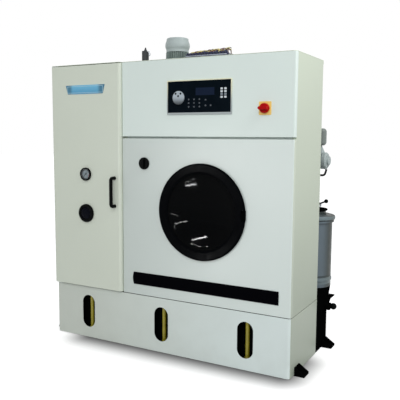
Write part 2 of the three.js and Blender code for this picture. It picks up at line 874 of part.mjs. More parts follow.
const keyPlaces = [];
function keyBlock(columns, rows, left, top, pitchX, pitchZ, width, rise) {
  for (let row = 0; row < rows; row += 1) {
    for (let column = 0; column < columns; column += 1) {
      keyPlaces.push([left + column * pitchX, top - row * pitchZ, width, rise]);
    }
  }
}
keyBlock(2, 4, keyColumnOffsetX, keyRowTopZ, keyColumnPitch, keyRowPitch, keyWidth, keyRise);
keyBlock(3, 3, smallKeyOffsetX, smallKeyTopZ, smallKeyPitchX, smallKeyPitchZ, smallKeySize, smallKeySize);
keyBlock(1, 2, loneKeyOffsetX, loneKeyTopZ, 0, loneKeyPitchZ, smallKeySize, smallKeySize);
keyBlock(1, 1, loneKeyOffsetX + loneKeyPitchX, loneKeyTopZ - loneKeyPitchZ, 0, 0, smallKeySize, smallKeySize);

function controlFace() {
  const edge = 2 * seat;
  const front = -controlFaceThickness - seat;
  let face = slab(0, controlHoleLift, controlHole[0] - edge, controlHole[1] - edge, front, -seat);
  face = cut(face, slab(lcdOffsetX, lcdOffsetZ, lcdWidth, lcdRise, -6, -controlFaceThickness + 0.7));
  face = cut(face, bore(dialStemRadius + seat, -6, 1).translate([dialOffsetX, 0, dialOffsetZ]));
  for (const [x, z, width, rise] of keyPlaces) {
    face = cut(face, slab(x, z, width + edge, rise + edge, -6, 1));
  }
  return face;
}

// Keys moulded on one mat behind the face.
function keypad() {
  const [left, right] = [smallKeyOffsetX - keyWidth, keyColumnOffsetX + keyColumnPitch + keyWidth];
  const [bottom, top] = [smallKeyTopZ - 2 * smallKeyPitchZ - keyRise, keyRowTopZ + keyRise];
  let mat = block(left, right, 0, 2, bottom, top);
  for (const [x, z, width, rise] of keyPlaces) {
    mat = unite(mat, slab(x, z, width, rise, -controlFaceThickness - 1.2, 1));
  }
  return mat;
}

function selectorDial() {
  const back = -controlFaceThickness - 2 * seat;
  const front = back - 6;
  let dial = revolve([
    [0, 3], [dialStemRadius, 3], [dialStemRadius, back], [dialRadius, back], [dialRadius, front + 1.5],
    [dialRadius - 2, front], [0, front],
  ], 'y', 24);
  for (const [x, z] of [[-18, 24], [15, 24], [-1, 9.5]]) {
    dial = cut(dial, rod(dialPitRadius, front - 1, front + 2).translate([x, 0, z]));
  }
  return dial;
}

function switchPlate() {
  const plate = through(roundedRectangle(switchPlateSide, switchPlateSide, 5), -2.5 - seat, -seat);
  return cut(plate, bore(switchShaftRadius + 1, -5, 2));
}

// A round base with a grip bar; the pointed end shows the position.
function switchKnob() {
  const back = -2.5 - 2 * seat;
  const base = revolve([
    [0, 20], [switchShaftRadius, 20], [switchShaftRadius, back], [switchKnobRadius, back],
    [switchKnobRadius, back - switchKnobDepth + 3], [switchKnobRadius - 3, back - switchKnobDepth],
    [0, back - switchKnobDepth],
  ], 'y', 20);
  const grip = new THREE.Shape([
    new THREE.Vector2(-switchKnobRadius - 3, 0), new THREE.Vector2(-switchKnobRadius + 6, -9),
    new THREE.Vector2(switchKnobRadius - 2, -9), new THREE.Vector2(switchKnobRadius - 2, 9),
    new THREE.Vector2(-switchKnobRadius + 6, 9),
  ]);
  return unite(base, through(grip, -switchKnobReach, back - 4));
}

// ---------------------------------------------------------------- loading door
const doorFacets = 32;

// The rim's edge is a half round whose centre at the right is the hinge axis.
function doorRing() {
  const r = doorThickness / 2;
  const [back, front] = [doorBackY, doorBackY - doorThickness];
  const segments = doorFacets;
  const rebate = flatsAt(doorGlassRadius + seat, segments);
  const lip = rebate - 8;
  const profile = [[rebate, back]];
  for (let i = 0; i <= 4; i += 1) {
    const angle = Math.PI / 2 - (Math.PI * i) / 4;
    profile.push([doorRadius - r + r * Math.cos(angle), doorAxisY + r * Math.sin(angle)]);
  }
  profile.push([lip + 12, front], [lip, front + 5], [lip, back - 12], [rebate, back - 12]);
  const rim = ring(profile, 'y', segments);
  const axisX = doorAxisX - doorX;
  const notchDepth = 15;
  const notchHalf = doorKnuckleHalf + seat;
  const notch = block(axisX - notchDepth, doorRadius + 1, front - 1, back + 1, -notchHalf, notchHalf);
  const pinReach = doorKnuckleHalf + doorPinLength + 1;
  const pinBore = bore(doorPinRadius + hingePinClearance, -pinReach, pinReach, 'z');
  const strikerX = -doorRadius + doorOverlap + 10;
  const striker = block(strikerX - 5, strikerX + 5, back - 2, back + 16, -12, 12);
  return cut(unite(rim, striker), notch, pinBore.translate([axisX, doorAxisY, 0]));
}

// Dished inwards from a flat rim.
function doorGlass() {
  const rimFront = doorBackY - 12 + seat;
  const flat = doorGlassRadius - 16;
  const dish = (radius) => doorGlassDish * (1 - (radius / flat) ** 2);
  const profile = [[0, rimFront + doorGlassDish]];
  const steps = 4;
  for (let i = 1; i <= steps; i += 1) profile.push([(flat * i) / steps, rimFront + dish((flat * i) / steps)]);
  const edge = flatsAt(doorGlassRadius, doorFacets);
  profile.push([edge, rimFront], [edge, rimFront + doorGlassThickness]);
  for (let i = steps; i >= 0; i -= 1) {
    profile.push([(flat * i) / steps, rimFront + doorGlassThickness + dish((flat * i) / steps)]);
  }
  return revolve(profile, 'y', doorFacets);
}

function doorHinge() {
  const half = doorKnuckleHalf;
  const knuckle = block(-10, 10, -doorThickness / 2 + 2, doorThickness / 2 + 0.2, -half, half);
  const pin = rod(doorPinRadius, -half - doorPinLength, half + doorPinLength, 'z');
  return unite(knuckle, pin);
}

function doorSeal() {
  const [inner, outer, front, back] = [tubCollarRadius - 7, tubCollarRadius + 9, -0.2, tubCollarFront - seat];
  return ring([
    [inner, back], [outer, back], [outer - 3, front], [inner + 3, front],
  ]);
}

function lockKnob() {
  const base = revolve([
    [0, 22], [lockShaftRadius, 22], [lockShaftRadius, -seat], [lockKnobRadius, -seat],
    [lockKnobRadius, -8], [lockKnobRadius - 6, -14], [0, -14],
  ], 'y', 20);
  const gripLength = 2 * (lockKnobRadius - lockGripInset);
  const grip = through(roundedRectangle(lockGripWidth, gripLength, 8), -lockKnobReach, -10);
  const cam = block(-10, 10, 12, 18, -lockCamReach, 8);
  return unite(base, grip, cam);
}

// ---------------------------------------------------------------- drum, tub and drive
function tub() {
  const [r, front, back] = [tubRadius, tubFront, tubBack];
  const inner = r - tubWall;
  const shell = ring([
    [tubCollarRadius - 6, tubCollarFront], [tubCollarRadius, tubCollarFront], [tubCollarRadius, front],
    [r, front], [r, back - 8], [r + 12, back - 8], [r + 12, back],
    [shaftRadius + 15, back], [shaftRadius + 15, back - tubBackPlate], [inner, back - tubBackPlate],
    [inner, front + tubWall], [tubCollarRadius - 6, front + tubWall],
  ]);
  let whole = shell;
  const inside = rod(r - 2, front, back);
  const footZ = panelBottom - doorZ;
  for (const side of [-1, 1]) {
    const x = side * tubLegOffset;
    const [left, right] = [x - tubFootWidth / 2, x + tubFootWidth / 2];
    const legSide = tubLegThickness / 2;
    const upright = block(x - legSide, x + legSide, tubLegFront, tubLegBack, footZ, 0);
    const foot = block(left, right, tubLegFront, tubLegBack, footZ, footZ + tubFootThickness);
    const brace = block(left, right, tubBraceY - legSide, tubBraceY + legSide, footZ, tubBraceTop);
    whole = unite(whole, cut(unite(upright, foot, brace), inside));
  }
  return whole;
}

// Perforated drum with its lifters, hub and shaft.
function drum() {
  const [r, wall, front, back] = [drumRadius, drumWall, drumFront, drumBack];
  let body = revolve([
    [0, back - wall], [r - wall, back - wall], [r - wall, front + wall], [drumMouthRadius, front + wall],
    [drumMouthRadius, front - 8], [drumMouthRadius + wall, front - 8], [drumMouthRadius + wall, front],
    [r, front], [r, back], [drumHubRadius, back], [drumHubRadius, back + drumHubLength],
    [shaftRadius, back + drumHubLength],
    [shaftRadius, beltPlane - pulleyWidth / 2 - 6], [shaftSeatRadius, beltPlane - pulleyWidth / 2 - 6],
    [shaftSeatRadius, beltPlane + pulleyWidth / 2 + 14], [0, beltPlane + pulleyWidth / 2 + 14],
  ]);
  const ringPitch = (back - front) / (drumHoleRings + 1);
  const hole = rod(drumHoleRadius, r - 12, r + 12, 'x', 5);
  const holes = [];
  for (let ringIndex = 1; ringIndex <= drumHoleRings; ringIndex += 1) {
    for (let i = 0; i < drumHolesAround; i += 1) {
      const angle = (360 * (i + (ringIndex % 2) / 2)) / drumHolesAround;
      holes.push(hole.rotate([0, angle, 0]).translate([0, front + ringIndex * ringPitch, 0]));
    }
  }
  body = cut(body, wasm.Manifold.union(holes));
  const section = new THREE.Shape([
    new THREE.Vector2(-lifterWidth / 2, r - wall - 5), new THREE.Vector2(-12, r - wall - lifterHeight),
    new THREE.Vector2(12, r - wall - lifterHeight), new THREE.Vector2(lifterWidth / 2, r - wall - 5),
    new THREE.Vector2(0, r - wall + 1.5),
  ]);
  const lifter = through(section, front + wall - 1, back - wall + 1);
  for (let i = 0; i < lifterCount; i += 1) {
    body = unite(body, lifter.rotate([0, (360 * (i + 0.25)) / lifterCount, 0]));
  }
  return body;
}

function bearingHousing() {
  const segments = 20;
  const inner = flatsAt(shaftRadius + shaftClearance, segments);
  const [front, back] = [tubBack + seat, beltPlane - pulleyWidth / 2 - 8];
  const [flange, barrel] = [bearingFlangeRadius, bearingBarrelRadius];
  let housing = ring([
    [inner, front], [flange, front], [flange, front + 12],
    [barrel, front + 14], [barrel, back], [inner, back],
  ], 'y', segments);
  for (let i = 0; i < 6; i += 1) {
    const rib = block(barrel - 7, flange - 7, front + 8, back - 8, -4, 4);
    const bolt = rod(8, front + 8, front + 20, 'y', 6).translate([flange - 17, 0, 0]);
    housing = unite(housing, rib.rotate([0, 60 * i, 0]), bolt.rotate([0, 60 * i + 30, 0]));
  }
  return housing;
}

// Rim with one flat-bottomed groove that holds the belt with the seating gap all round.
function grooveProfile(pitch) {
  const floor = pitch - beltThickness / 2 - seat;
  const lip = pitch + beltThickness / 2 - 1;
  const half = beltWidth / 2 + seat;
  return [
    [lip, -pulleyWidth / 2], [lip, -half - 1], [floor, -half],
    [floor, half], [lip, half + 1], [lip, pulleyWidth / 2],
  ];
}

function drumPulley() {
  const web = 7;
  const rimInner = drumPulleyPitch - 24;
  const w = pulleyWidth / 2;
  const segments = facets(drumPulleyPitch);
  const inner = flatsAt(shaftSeatRadius + seat, segments);
  const wheel = ring([
    [inner, -w], [pulleyHubRadius, -w], [pulleyHubRadius, -web], [rimInner, -web], [rimInner, -w],
    ...grooveProfile(drumPulleyPitch),
    [rimInner, w], [rimInner, web], [inner, web],
  ], 'y', segments);
  let pulley = wheel;
  for (let i = 0; i < pulleySpokeHoles; i += 1) {
    const hole = rod(38, -w, w, 'y', 8).translate([(pulleyHubRadius + rimInner) / 2, 0, 0]);
    pulley = cut(pulley, hole.rotate([0, (360 * i) / pulleySpokeHoles, 0]));
  }
  return pulley;
}

function motorPulley() {
  const w = pulleyWidth / 2;
  const tail = driveMotorBack - beltPlane - 12;
  return revolve([
    [0, tail], [driveShaftRadius, tail], [driveShaftRadius, -w - 4], [26, -w - 4], [26, -w],
    ...grooveProfile(motorPulleyPitch),
    [20, w], [20, w + 4], [0, w + 4],
  ]);
}

// Closed loop tangent to both pulleys, offset from their pitch line; its flats clear the groove floors.
function beltLoop(offset) {
  const gap = new THREE.Vector2(driveMotorX - doorX, driveMotorZ - doorZ);
  const line = gap.angle();
  const spread = Math.acos((drumPulleyPitch - motorPulleyPitch) / gap.length());
  const points = [];
  const wrap = (centre, radius, from, to, steps) => {
    const corner = radius / Math.cos((to - from) / steps / 2);
    for (let i = 0; i <= steps; i += 1) {
      const angle = from + ((to - from) * i) / steps;
      points.push(new THREE.Vector2(corner * Math.cos(angle), corner * Math.sin(angle)).add(centre));
    }
  };
  wrap(new THREE.Vector2(), drumPulleyPitch + offset, line + spread, line - spread + 2 * Math.PI, 20);
  wrap(gap, motorPulleyPitch + offset, line - spread, line + spread, 8);
  return points;
}

function driveBelt() {
  const loop = new THREE.Shape(beltLoop(beltThickness / 2));
  loop.holes.push(new THREE.Path(beltLoop(-beltThickness / 2)));
  return through(loop, -beltWidth / 2, beltWidth / 2);
}

function driveMotor() {
  const [r, front, back] = [driveMotorRadius, driveMotorFront, driveMotorBack];
  const segments = 16;
  const socket = flatsAt(driveShaftRadius + shaftClearance, segments);
  let motor = revolve([
    [0, front], [r - 14, front], [r - 4, front + 14], [r - 4, front + 40], [r - 12, front + 40],
    [r - 12, back - 30], [r - 4, back - 30], [r - 20, back], [socket, back], [socket, back - 14],
    [0, back - 14],
  ], 'y', segments);
  for (let i = 0; i < driveMotorFins; i += 1) {
    const fin = block(r - 16, r, front + 38, back - 28, -2, 2);
    motor = unite(motor, fin.rotate([0, (360 * (i + 0.5)) / driveMotorFins, 0]));
  }
  const footZ = panelBottom - driveMotorZ;
  const [wide, long, narrow] = [driveFootWidth / 2, driveFootLength / 2, drivePedestalWidth / 2];
  for (const y of [front + driveFootInset, back - driveFootInset]) {
    const foot = block(-wide, wide, y - long, y + long, footZ, footZ + driveFootThickness);
    const pedestal = block(-narrow, narrow, y - long + 6, y + long - 6, footZ, -r / 2);
    motor = unite(motor, foot, pedestal);
  }
  const boxTop = terminalBoxHeight / 2 + 5;
  const terminalBox = block(
    -r - terminalBoxReach, -r + 16, front + driveFootInset, front + driveFootInset + terminalBoxLength,
    boxTop - terminalBoxHeight, boxTop,
  );
  return unite(motor, terminalBox);
}

// ---------------------------------------------------------------- rear bay
function hollowPost(x) {
  const h = postSide / 2;
  const outer = block(x - h, x + h, postY - h, postY + h, panelBottom, postTop);
  const hollow = h - sheet;
  const inner = block(x - hollow, x + hollow, postY - hollow, postY + hollow, panelBottom - 1, postTop + 1);
  const plateHalf = postFootSide / 2;
  const foot = block(
    x - plateHalf, x + plateHalf, postY - plateHalf, tankDepth, panelBottom, panelBottom + postFootThickness,
  );
  return unite(cut(outer, inner), cut(foot, inner));
}

function rearFrame() {
  const h = postSide / 2;
  const beams = [postTop - postSide, lowBeamHeight].map((z) => block(
    postLeftX + h - 1, postX - h + 1, postY - h, postY + h, z, z + postSide,
  ));
  return unite(hollowPost(postX), hollowPost(postLeftX), ...beams);
}

// Shelf bolted to the tank's rear wall, with the cup that holds the filter.
function filterBracket() {
  const back = tankDepth + seat;
  const half = filterRadius;
  const cupTop = filterBottom - seat;
  const top = cupTop - filterCupHeight;
  const wall = block(-half, half, back, back + shelfThickness, top - bracketDrop, top);
  const shelf = block(-half, half, back, filterY + half, top - shelfThickness, top);
  const gussetShape = new THREE.Shape([
    new THREE.Vector2(back + 2, top - bracketDrop + 10), new THREE.Vector2(filterY + half - 20, top - 2),
    new THREE.Vector2(back + 2, top - 2),
  ]);
  const gusset = new THREE.ExtrudeGeometry(gussetShape, { depth: shelfThickness, bevelEnabled: false });
  gusset.rotateX(Math.PI / 2).rotateZ(Math.PI / 2);
  const flat = solid(gusset);
  const cup = revolve([
    [0, top - 1], [half - filterCupTaper, top - 1], [half - filterCupTaper / 3, top + filterCupTaper],
    [half, cupTop], [0, cupTop],
  ], 'z').translate([0, filterY, 0]);
  return unite(wall, shelf, cup, flat.translate([-half + 20, 0, 0]), flat.translate([half - 20, 0, 0]));
}

function filterBody() {
  const [r, top] = [filterRadius, filterTop];
  const band = filterBottom + filterBandRise;
  const bandTop = band + filterBandHeight;
  return revolve([
    [0, filterBottom], [r, filterBottom], [r, band - 3], [r + 5, band], [r + 5, bandTop], [r, bandTop + 3],
    [r, top - 17], [r + 12, top - 15], [r + 12, top], [0, top],
  ], 'z');
}

function filterLid() {
  const bottom = filterTop + seat;
  return revolve([
    [0, bottom], [filterLidRadius - 4, bottom], [filterLidRadius, bottom + 6], [filterLidRadius, bottom + 22],
    [filterLidRadius - 8, bottom + 29], [filterBossRadius + 4, bottom + 42], [filterBossRadius, bottom + 46],
    [filterBossRadius, filterBossTop], [10, filterBossTop], [10, filterBossTop + 26], [0, filterBossTop + 26],
  ], 'z', 20);
}

function filterHandwheel() {
  const [r, t] = [handwheelRadius, handwheelThickness];
  const rim = ring([[r - 14, 2], [r - 2, 0], [r, t / 2], [r - 3, t], [r - 14, t - 2]], 'z');
  const segments = 12;
  const inner = flatsAt(10 + hingePinClearance, segments);
  const hub = ring([[inner, 0], [22, 0], [22, t + 6], [inner, t + 6]], 'z', segments);
  let wheel = unite(rim, hub);
  for (let i = 0; i < 4; i += 1) {
    wheel = unite(wheel, block(20, r - 10, -6, 6, 3, t - 3).rotate([0, 0, 90 * i + 20]));
  }
  return wheel;
}

const postFace = postX + postSide / 2 + seat;

function pumpMotor() {
  const [left, right, r] = [pumpLeft, pumpRight, pumpRadius];
  const body = revolve([
    [0, left], [r - 8, left], [r, left + 8], [r, left + 30], [r - 6, left + 33], [r - 6, left + 47],
    [r, left + 50], [r, right - 6], [r - 6, right], [pumpEndRadius, right],
    [pumpEndRadius, right + pumpEndLength], [0, right + pumpEndLength],
  ], 'x');
  const foot = block(postFace, left + 6, -18, 18, -34, 34);
  const cone = revolve([
    [0, r - 12], [pumpConeRadius, r - 12], [pumpConeRadius, r - 2],
    [receiverTubeRadius + 1, r + pumpConeHeight], [0, r + pumpConeHeight],
  ], 'z', 12);
  return unite(body, foot, cone.translate([receiverX, 0, 0]));
}

function pumpPipe() {
  const top = pumpZ - pumpRadius - seat;
  const low = pumpPipeX - pumpPipeLean;
  const stub = rod(pumpPipeRadius, top - 8, top, 'z', 8).translate([pumpPipeX, 0, 0]);
  const bend = bentBar(
    [
      new THREE.Vector3(pumpPipeX, 0, top - 5), new THREE.Vector3(low, 0, pumpPipeZ),
      new THREE.Vector3(postFace, 0, pumpPipeZ),
    ],
    pumpPipeRadius, 26, 8,
  );
  return unite(stub, bend);
}

function airReceiver() {
  const [r, low, high] = [receiverRadius, receiverBottom, receiverTop];
  const body = revolve([
    [0, low], [r - 10, low], [r, low + 12], [r, high - 12], [r - 10, high], [0, high],
  ], 'z', 16).translate([receiverX, 0, 0]);
  const armTop = high - receiverArmDrop;
  const arm = block(postFace, receiverX, -12, 12, armTop - receiverArmHeight, armTop);
  const coneTop = pumpZ + pumpRadius + pumpConeHeight + seat;
  const drop = rod(receiverTubeRadius, coneTop, low + 4, 'z', 8).translate([receiverX, 0, 0]);
  return unite(body, arm, drop);
}

const stemFront = -32;

function leverValve() {
  const pipe = rod(12, postFace, leverValveX + 26, 'x');
  const body = ball(22).translate([leverValveX, 0, 0]);
  const stem = rod(6, stemFront - 12, 0).translate([leverValveX, 0, 0]);
  return unite(pipe, body, stem);
}

function valveLever() {
  const length = leverLength;
  const arm = block(-9, length, -10, -4, -leverThickness / 2, leverThickness / 2);
  const hub = rod(11, -11, -1, 'y', 12);
  const grip = ball(leverBallRadius).translate([length, -7, 0]);
  const stemBore = bore(6 + hingePinClearance, -20, 2);
  return cut(unite(arm, hub, grip), stemBore).rotate([0, -leverRise, 0]);
}

// ---------------------------------------------------------------- on the top panel
const fanFacets = 20;

function fanMotor() {
  const base = cabinetHeight + seat;
  const neck = flatsAt(fanNeckRadius, fanFacets);
  let motor = revolve([
    [0, base], [fanBaseRadius, base], [fanBaseRadius, base + fanBaseThickness],
    [fanStatorRadius, base + fanBaseThickness], [fanStatorRadius, fanStatorTop],
    [neck, fanStatorTop], [neck, fanStatorTop + fanNeckHeight], [0, fanStatorTop + fanNeckHeight],
  ], 'z', fanFacets);
  const shaft = rod(fanShaftRadius, base - fanShaftDrop, base + 2, 'z');
  motor = unite(motor, shaft);
  for (let i = 0; i < fanFinCount; i += 1) {
    const finFoot = base + fanBaseThickness + 2;
    const fin = block(fanStatorRadius - 2, fanFinRadius, -2, 2, finFoot, fanStatorTop - 1);
    motor = unite(motor, fin.rotate([0, 0, (360 * i) / fanFinCount]));
  }
  return motor;
}

// Cowl over the motor's cooling fan, with a slotted top.
function fanCowl() {
  const bottom = fanStatorTop + seat;
  const wall = 3;
  const inner = flatsAt(fanNeckRadius + seat, fanFacets);
  let cowl = revolve([
    [0, fanCowlTop], [fanCowlRadius - 10, fanCowlTop], [fanCowlRadius - 7, fanCowlTop - 16],
    [fanCowlRadius, fanCowlTop - 36], [fanCowlRadius, fanCowlTop - 52],
    [inner + wall, bottom + 14], [inner + wall, bottom], [inner, bottom], [inner, bottom + 16],
    [fanCowlRadius - wall, fanCowlTop - 52], [fanCowlRadius - wall, fanCowlTop - 37],
    [fanCowlRadius - 11, fanCowlTop - 12], [0, fanCowlTop - wall],
  ], 'z', fanFacets);
  for (let i = 0; i < 8; i += 1) {
    const slot = block(18, fanCowlRadius - 22, -4, 4, fanCowlTop - 20, fanCowlTop + 1);
    cowl = cut(cowl, slot.rotate([0, 0, 45 * i]));
  }
  return cowl;
}

// Spiral fan casing under the top panel, with a square duct down to the tub.
function fanScroll() {
  const top = cabinetHeight - sheet - seat;
  const bottom = top - scrollHeight;
  const spiral = (base) => new THREE.Shape(Array.from({ length: 20 }, (_, i) => {
    const angle = (2 * Math.PI * i) / 20;
    const radius = base + (scrollGrowth * i) / 20;
    return new THREE.Vector2(radius * Math.cos(angle), radius * Math.sin(angle));
  }));
  const shell = cut(
    raised(spiral(scrollRadius), bottom, top),
    raised(spiral(scrollRadius - sheet), bottom + sheet, top - sheet),
    bore(fanShaftHole, top - sheet - 1, top + 1, 'z'),
  );
  const [w, d] = [ductWidth / 2, ductDepth / 2];
  const low = doorZ + ductFootRise;
  const duct = cut(
    block(-w, w, -d, d, low, bottom + sheet),
    block(-w + sheet, w - sheet, -d + sheet, d - sheet, low - 1, bottom + sheet + 1),
  );
  const clearTub = rod(tubRadius + seat, -300, 500).translate([doorX - fanX, 0, doorZ]);
  const inlet = block(-w + sheet, w - sheet, -d + sheet, d - sheet, bottom - 1, bottom + sheet + 1);
  return cut(unite(cut(shell, inlet), duct), clearTub);
}

function valveBank() {
  const base = cabinetHeight + seat;
  const length = bankValves * bankPitch;
  const deep = bankRailDepth / 2;
  const railTop = base + bankRailHeight;
  let bank = block(0, length, -deep, deep, base, railTop);
  for (let i = 0; i < bankValves; i += 1) {
    const x = (i + 0.5) * bankPitch;
    const half = (bankPitch - bankValveGap) / 2;
    const body = block(x - half, x + half, -17, 17, railTop - 1, railTop + bankValveHeight - 8);
    const coil = block(x - half + 2, x + half - 2, -15, 4, railTop, railTop + bankValveHeight);
    bank = unite(bank, body, coil);
  }
  return bank;
}

const tubeFoot = cabinetHeight + seat + bankRailHeight + bankValveHeight - 8 + seat;

// Air tubes that rise from the valves and bend over into the cable trunk behind them.
function airTubes() {
  const length = bankValves * bankPitch;
  const trunkBack = tubeReach + 14;
  const base = cabinetHeight + seat;
  let body = block(0, length, tubeReach - 14, trunkBack, base, base + trunkHeight);
  for (let i = 0; i < bankValves; i += 1) {
    const x = (i + 0.5) * bankPitch;
    const crown = tubeFoot + tubeRise + (i % 3) * 4;
    const tube = bentBar(
      [
        new THREE.Vector3(x, 12, tubeFoot), new THREE.Vector3(x, 12, crown),
        new THREE.Vector3(x, tubeReach, crown), new THREE.Vector3(x, tubeReach, base + trunkHeight - 2),
      ],
      tubeRadius, 12, 4, 2,
    );
    body = unite(body, tube);
  }
  return body;
}

// Inlet block with a bleed plug on top and a bent outlet.
function inletValve() {
  const base = cabinetHeight + seat;
  const top = base + inletHeight;
  const body = block(-17, 15, -16, 16, base, top);
  const plug = revolve([
    [0, top - 2], [9, top - 2], [9, top + inletPlugHeight / 3], [4, top + inletPlugHeight],
    [0, top + inletPlugHeight],
  ], 'z', 8);
  const spout = bentBar(
    [
      new THREE.Vector3(8, 0, top - 7), new THREE.Vector3(inletSpoutReach - 2, 0, top - 7),
      new THREE.Vector3(inletSpoutReach, 0, top - 7 - inletSpoutDrop),
    ],
    6, 12, 8,
  );
  return unite(body, plug, spout);
}

// ---------------------------------------------------------------- still in the column
function stillVessel() {
  const [r, low, high] = [stillRadius, stillBottom, stillTop];
  const shell = revolve([
    [0, low - 60], [r * 0.6, low - 50], [r, low], [r, high - 110], [r + 16, high - 110], [r + 16, high - 90],
    [r, high - 90], [r, high], [r * 0.6, high + 50], [40, high + stillDomeRise],
    [40, high + stillOutletRise], [0, high + stillOutletRise],
  ], 'z', 20);
  const neckFront = stillNeckFront - stillY;
  const neck = rod(stillNeckRadius, neckFront, -r + 20).translate([0, 0, portHeight]);
  const legs = [30, 150, 270].map((angle) => block(
    r - 30, r - 10, -stillLegWidth / 2, stillLegWidth / 2, panelBottom, low + 10,
  ).rotate([0, 0, angle]));
  return unite(shell, neck, ...legs);
}

// ---------------------------------------------------------------- assembly
const columnFace = -columnDoorProud;

piece('base_tank', 'blackPaint', baseTank());
piece('base_cover', 'ivoryShade', baseCover());
['left', 'centre', 'right'].forEach((side, i) => {
  piece(`sight_tube_${side}`, 'brass', sightTube(), (i - 1) * slotPitch, sightTubeSetback, slotCentreZ);
});
piece('cleanout_cover', 'blackPaint', cleanoutCover(), 0, tankDepth, tankHeight / 2);
piece('drain_valve', 'blackPaint', drainValve(), tankSideX + seat, drainY, drainZ);
piece('drain_valve_knob', 'blackPlastic', drainKnob(), tankSideX + seat, drainY, drainZ);

piece('side_panel', 'ivory', sidePanel());
piece('column_cabinet', 'ivory', columnCabinet());
piece('top_panel', 'ivory', topPanel());
piece('upper_front_panel', 'ivory', upperFrontPanel());
piece('lower_front_panel', 'ivory', lowerFrontPanel());
piece('accent_stripe', 'blackPlastic', accentStripe(), doorX, 0, stripeCentreZ);

piece('column_door', 'ivory', columnDoor());
piece('column_handle', 'blackPlastic', columnHandle(), handleX, columnFace, handleHeight);
piece('front_plate', 'blue', frontPlate(), columnLineX, columnFace, platePlaceHeight);
piece('gauge_case', 'blackPlastic', gaugeCase(), columnLineX, columnFace, gaugeHeight);
piece('gauge_dial', 'dialGrey', gaugeDial(), columnLineX, columnFace, gaugeHeight);
const needleBack = gaugeFloor - 2 * seat - 1.4 - 1.8;
piece('gauge_needle', 'blackPlastic', gaugeNeedle(), columnLineX, columnFace + needleBack, gaugeHeight);
piece('gauge_lens', 'clear', gaugeLens(), columnLineX, columnFace, gaugeHeight);
piece('sight_port_ring', 'blackPlastic', portRing(), columnLineX, columnFace, portHeight);
piece('sight_port_glass', 'smoked', portGlass(), columnLineX, columnFace, portHeight);
piece('column_hinge_lower', 'steel', pivotBracket(doorBottomGap - 2 * seat), hingeX, 0, panelBottom);
const upperBracket = pivotBracket(doorTopGap - 2 * seat).mirror([0, 0, 1]);
const upperHinge = piece('column_hinge_upper', 'steel', upperBracket);
upperHinge.position.set(hingeX, 0, panelTop);
piece('still_vessel', 'steel', stillVessel(), stillX, stillY, 0);

piece('control_bezel', 'steel', controlBezel(), controlX, 0, controlHeight);
piece('control_face', 'navy', controlFace(), controlX, 0, controlHeight);
piece('keypad', 'key', keypad(), controlX, 0, controlHeight);
piece('selector_dial', 'steel', selectorDial(), controlX + dialOffsetX, 0, controlHeight + dialOffsetZ);
piece('switch_plate', 'yellow', switchPlate(), switchX, 0, switchHeight);
piece('switch_knob', 'red', switchKnob(), switchX, 0, switchHeight);

piece('door_ring', 'blackPlastic', doorRing(), doorX, 0, doorZ);
piece('door_glass', 'smoked', doorGlass(), doorX, 0, doorZ);
piece('door_hinge', 'blackPaint', doorHinge(), doorAxisX, doorAxisY, doorZ);
piece('door_seal', 'rubber', doorSeal(), doorX, 0, doorZ);
piece('lock_knob', 'blackPlastic', lockKnob(), lockKnobX, 0, lockKnobZ);

piece('tub', 'steel', tub(), doorX, 0, doorZ);
piece('drum', 'steel', drum(), doorX, 0, doorZ);
piece('bearing_housing', 'cast', bearingHousing(), doorX, 0, doorZ);
piece('drum_pulley', 'cast', drumPulley(), doorX, beltPlane, doorZ);
piece('drive_belt', 'rubber', driveBelt(), doorX, beltPlane, doorZ);
piece('motor_pulley', 'cast', motorPulley(), driveMotorX, beltPlane, driveMotorZ);
piece('drive_motor', 'motorGrey', driveMotor(), driveMotorX, 0, driveMotorZ);

piece('rear_frame', 'blackPaint', rearFrame());
piece('filter_bracket', 'blackPaint', filterBracket(), filterX, 0, 0);
piece('filter_body', 'slate', filterBody(), filterX, filterY, 0);
piece('filter_lid', 'slate', filterLid(), filterX, filterY, 0);
piece('filter_handwheel', 'blackPaint', filterHandwheel(), filterX, filterY, filterBossTop + seat);
piece('pump_motor', 'motorGrey', pumpMotor(), 0, rearUnitY, pumpZ);
piece('pump_pipe', 'rubber', pumpPipe(), 0, rearUnitY, 0);
piece('air_receiver', 'cast', airReceiver(), 0, rearUnitY, 0);
piece('lever_valve', 'steel', leverValve(), 0, rearUnitY, leverValveZ);
piece('valve_lever', 'blackPlastic', valveLever(), leverValveX, rearUnitY + stemFront, leverValveZ);

piece('fan_motor', 'cast', fanMotor(), fanX, fanY, 0);
piece('fan_cowl', 'motorGrey', fanCowl(), fanX, fanY, 0);
piece('fan_scroll', 'steel', fanScroll(), fanX, fanY, 0);
piece('valve_bank', 'navy', valveBank(), bankLeft, bankY, 0);
piece('air_tubes', 'cast', airTubes(), bankLeft, bankY, 0);
piece('inlet_valve', 'blackPlastic', inletValve(), inletX, inletY, 0);

export default machine;
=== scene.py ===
"""Looks of the front-loading dry cleaning machine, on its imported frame.

Metres throughout. +X is to the right seen from the front, +Y goes into the machine, +Z is up.
"""

import math

import bmesh
import bpy
import numpy as np
from mathutils import Euler, Matrix, Vector


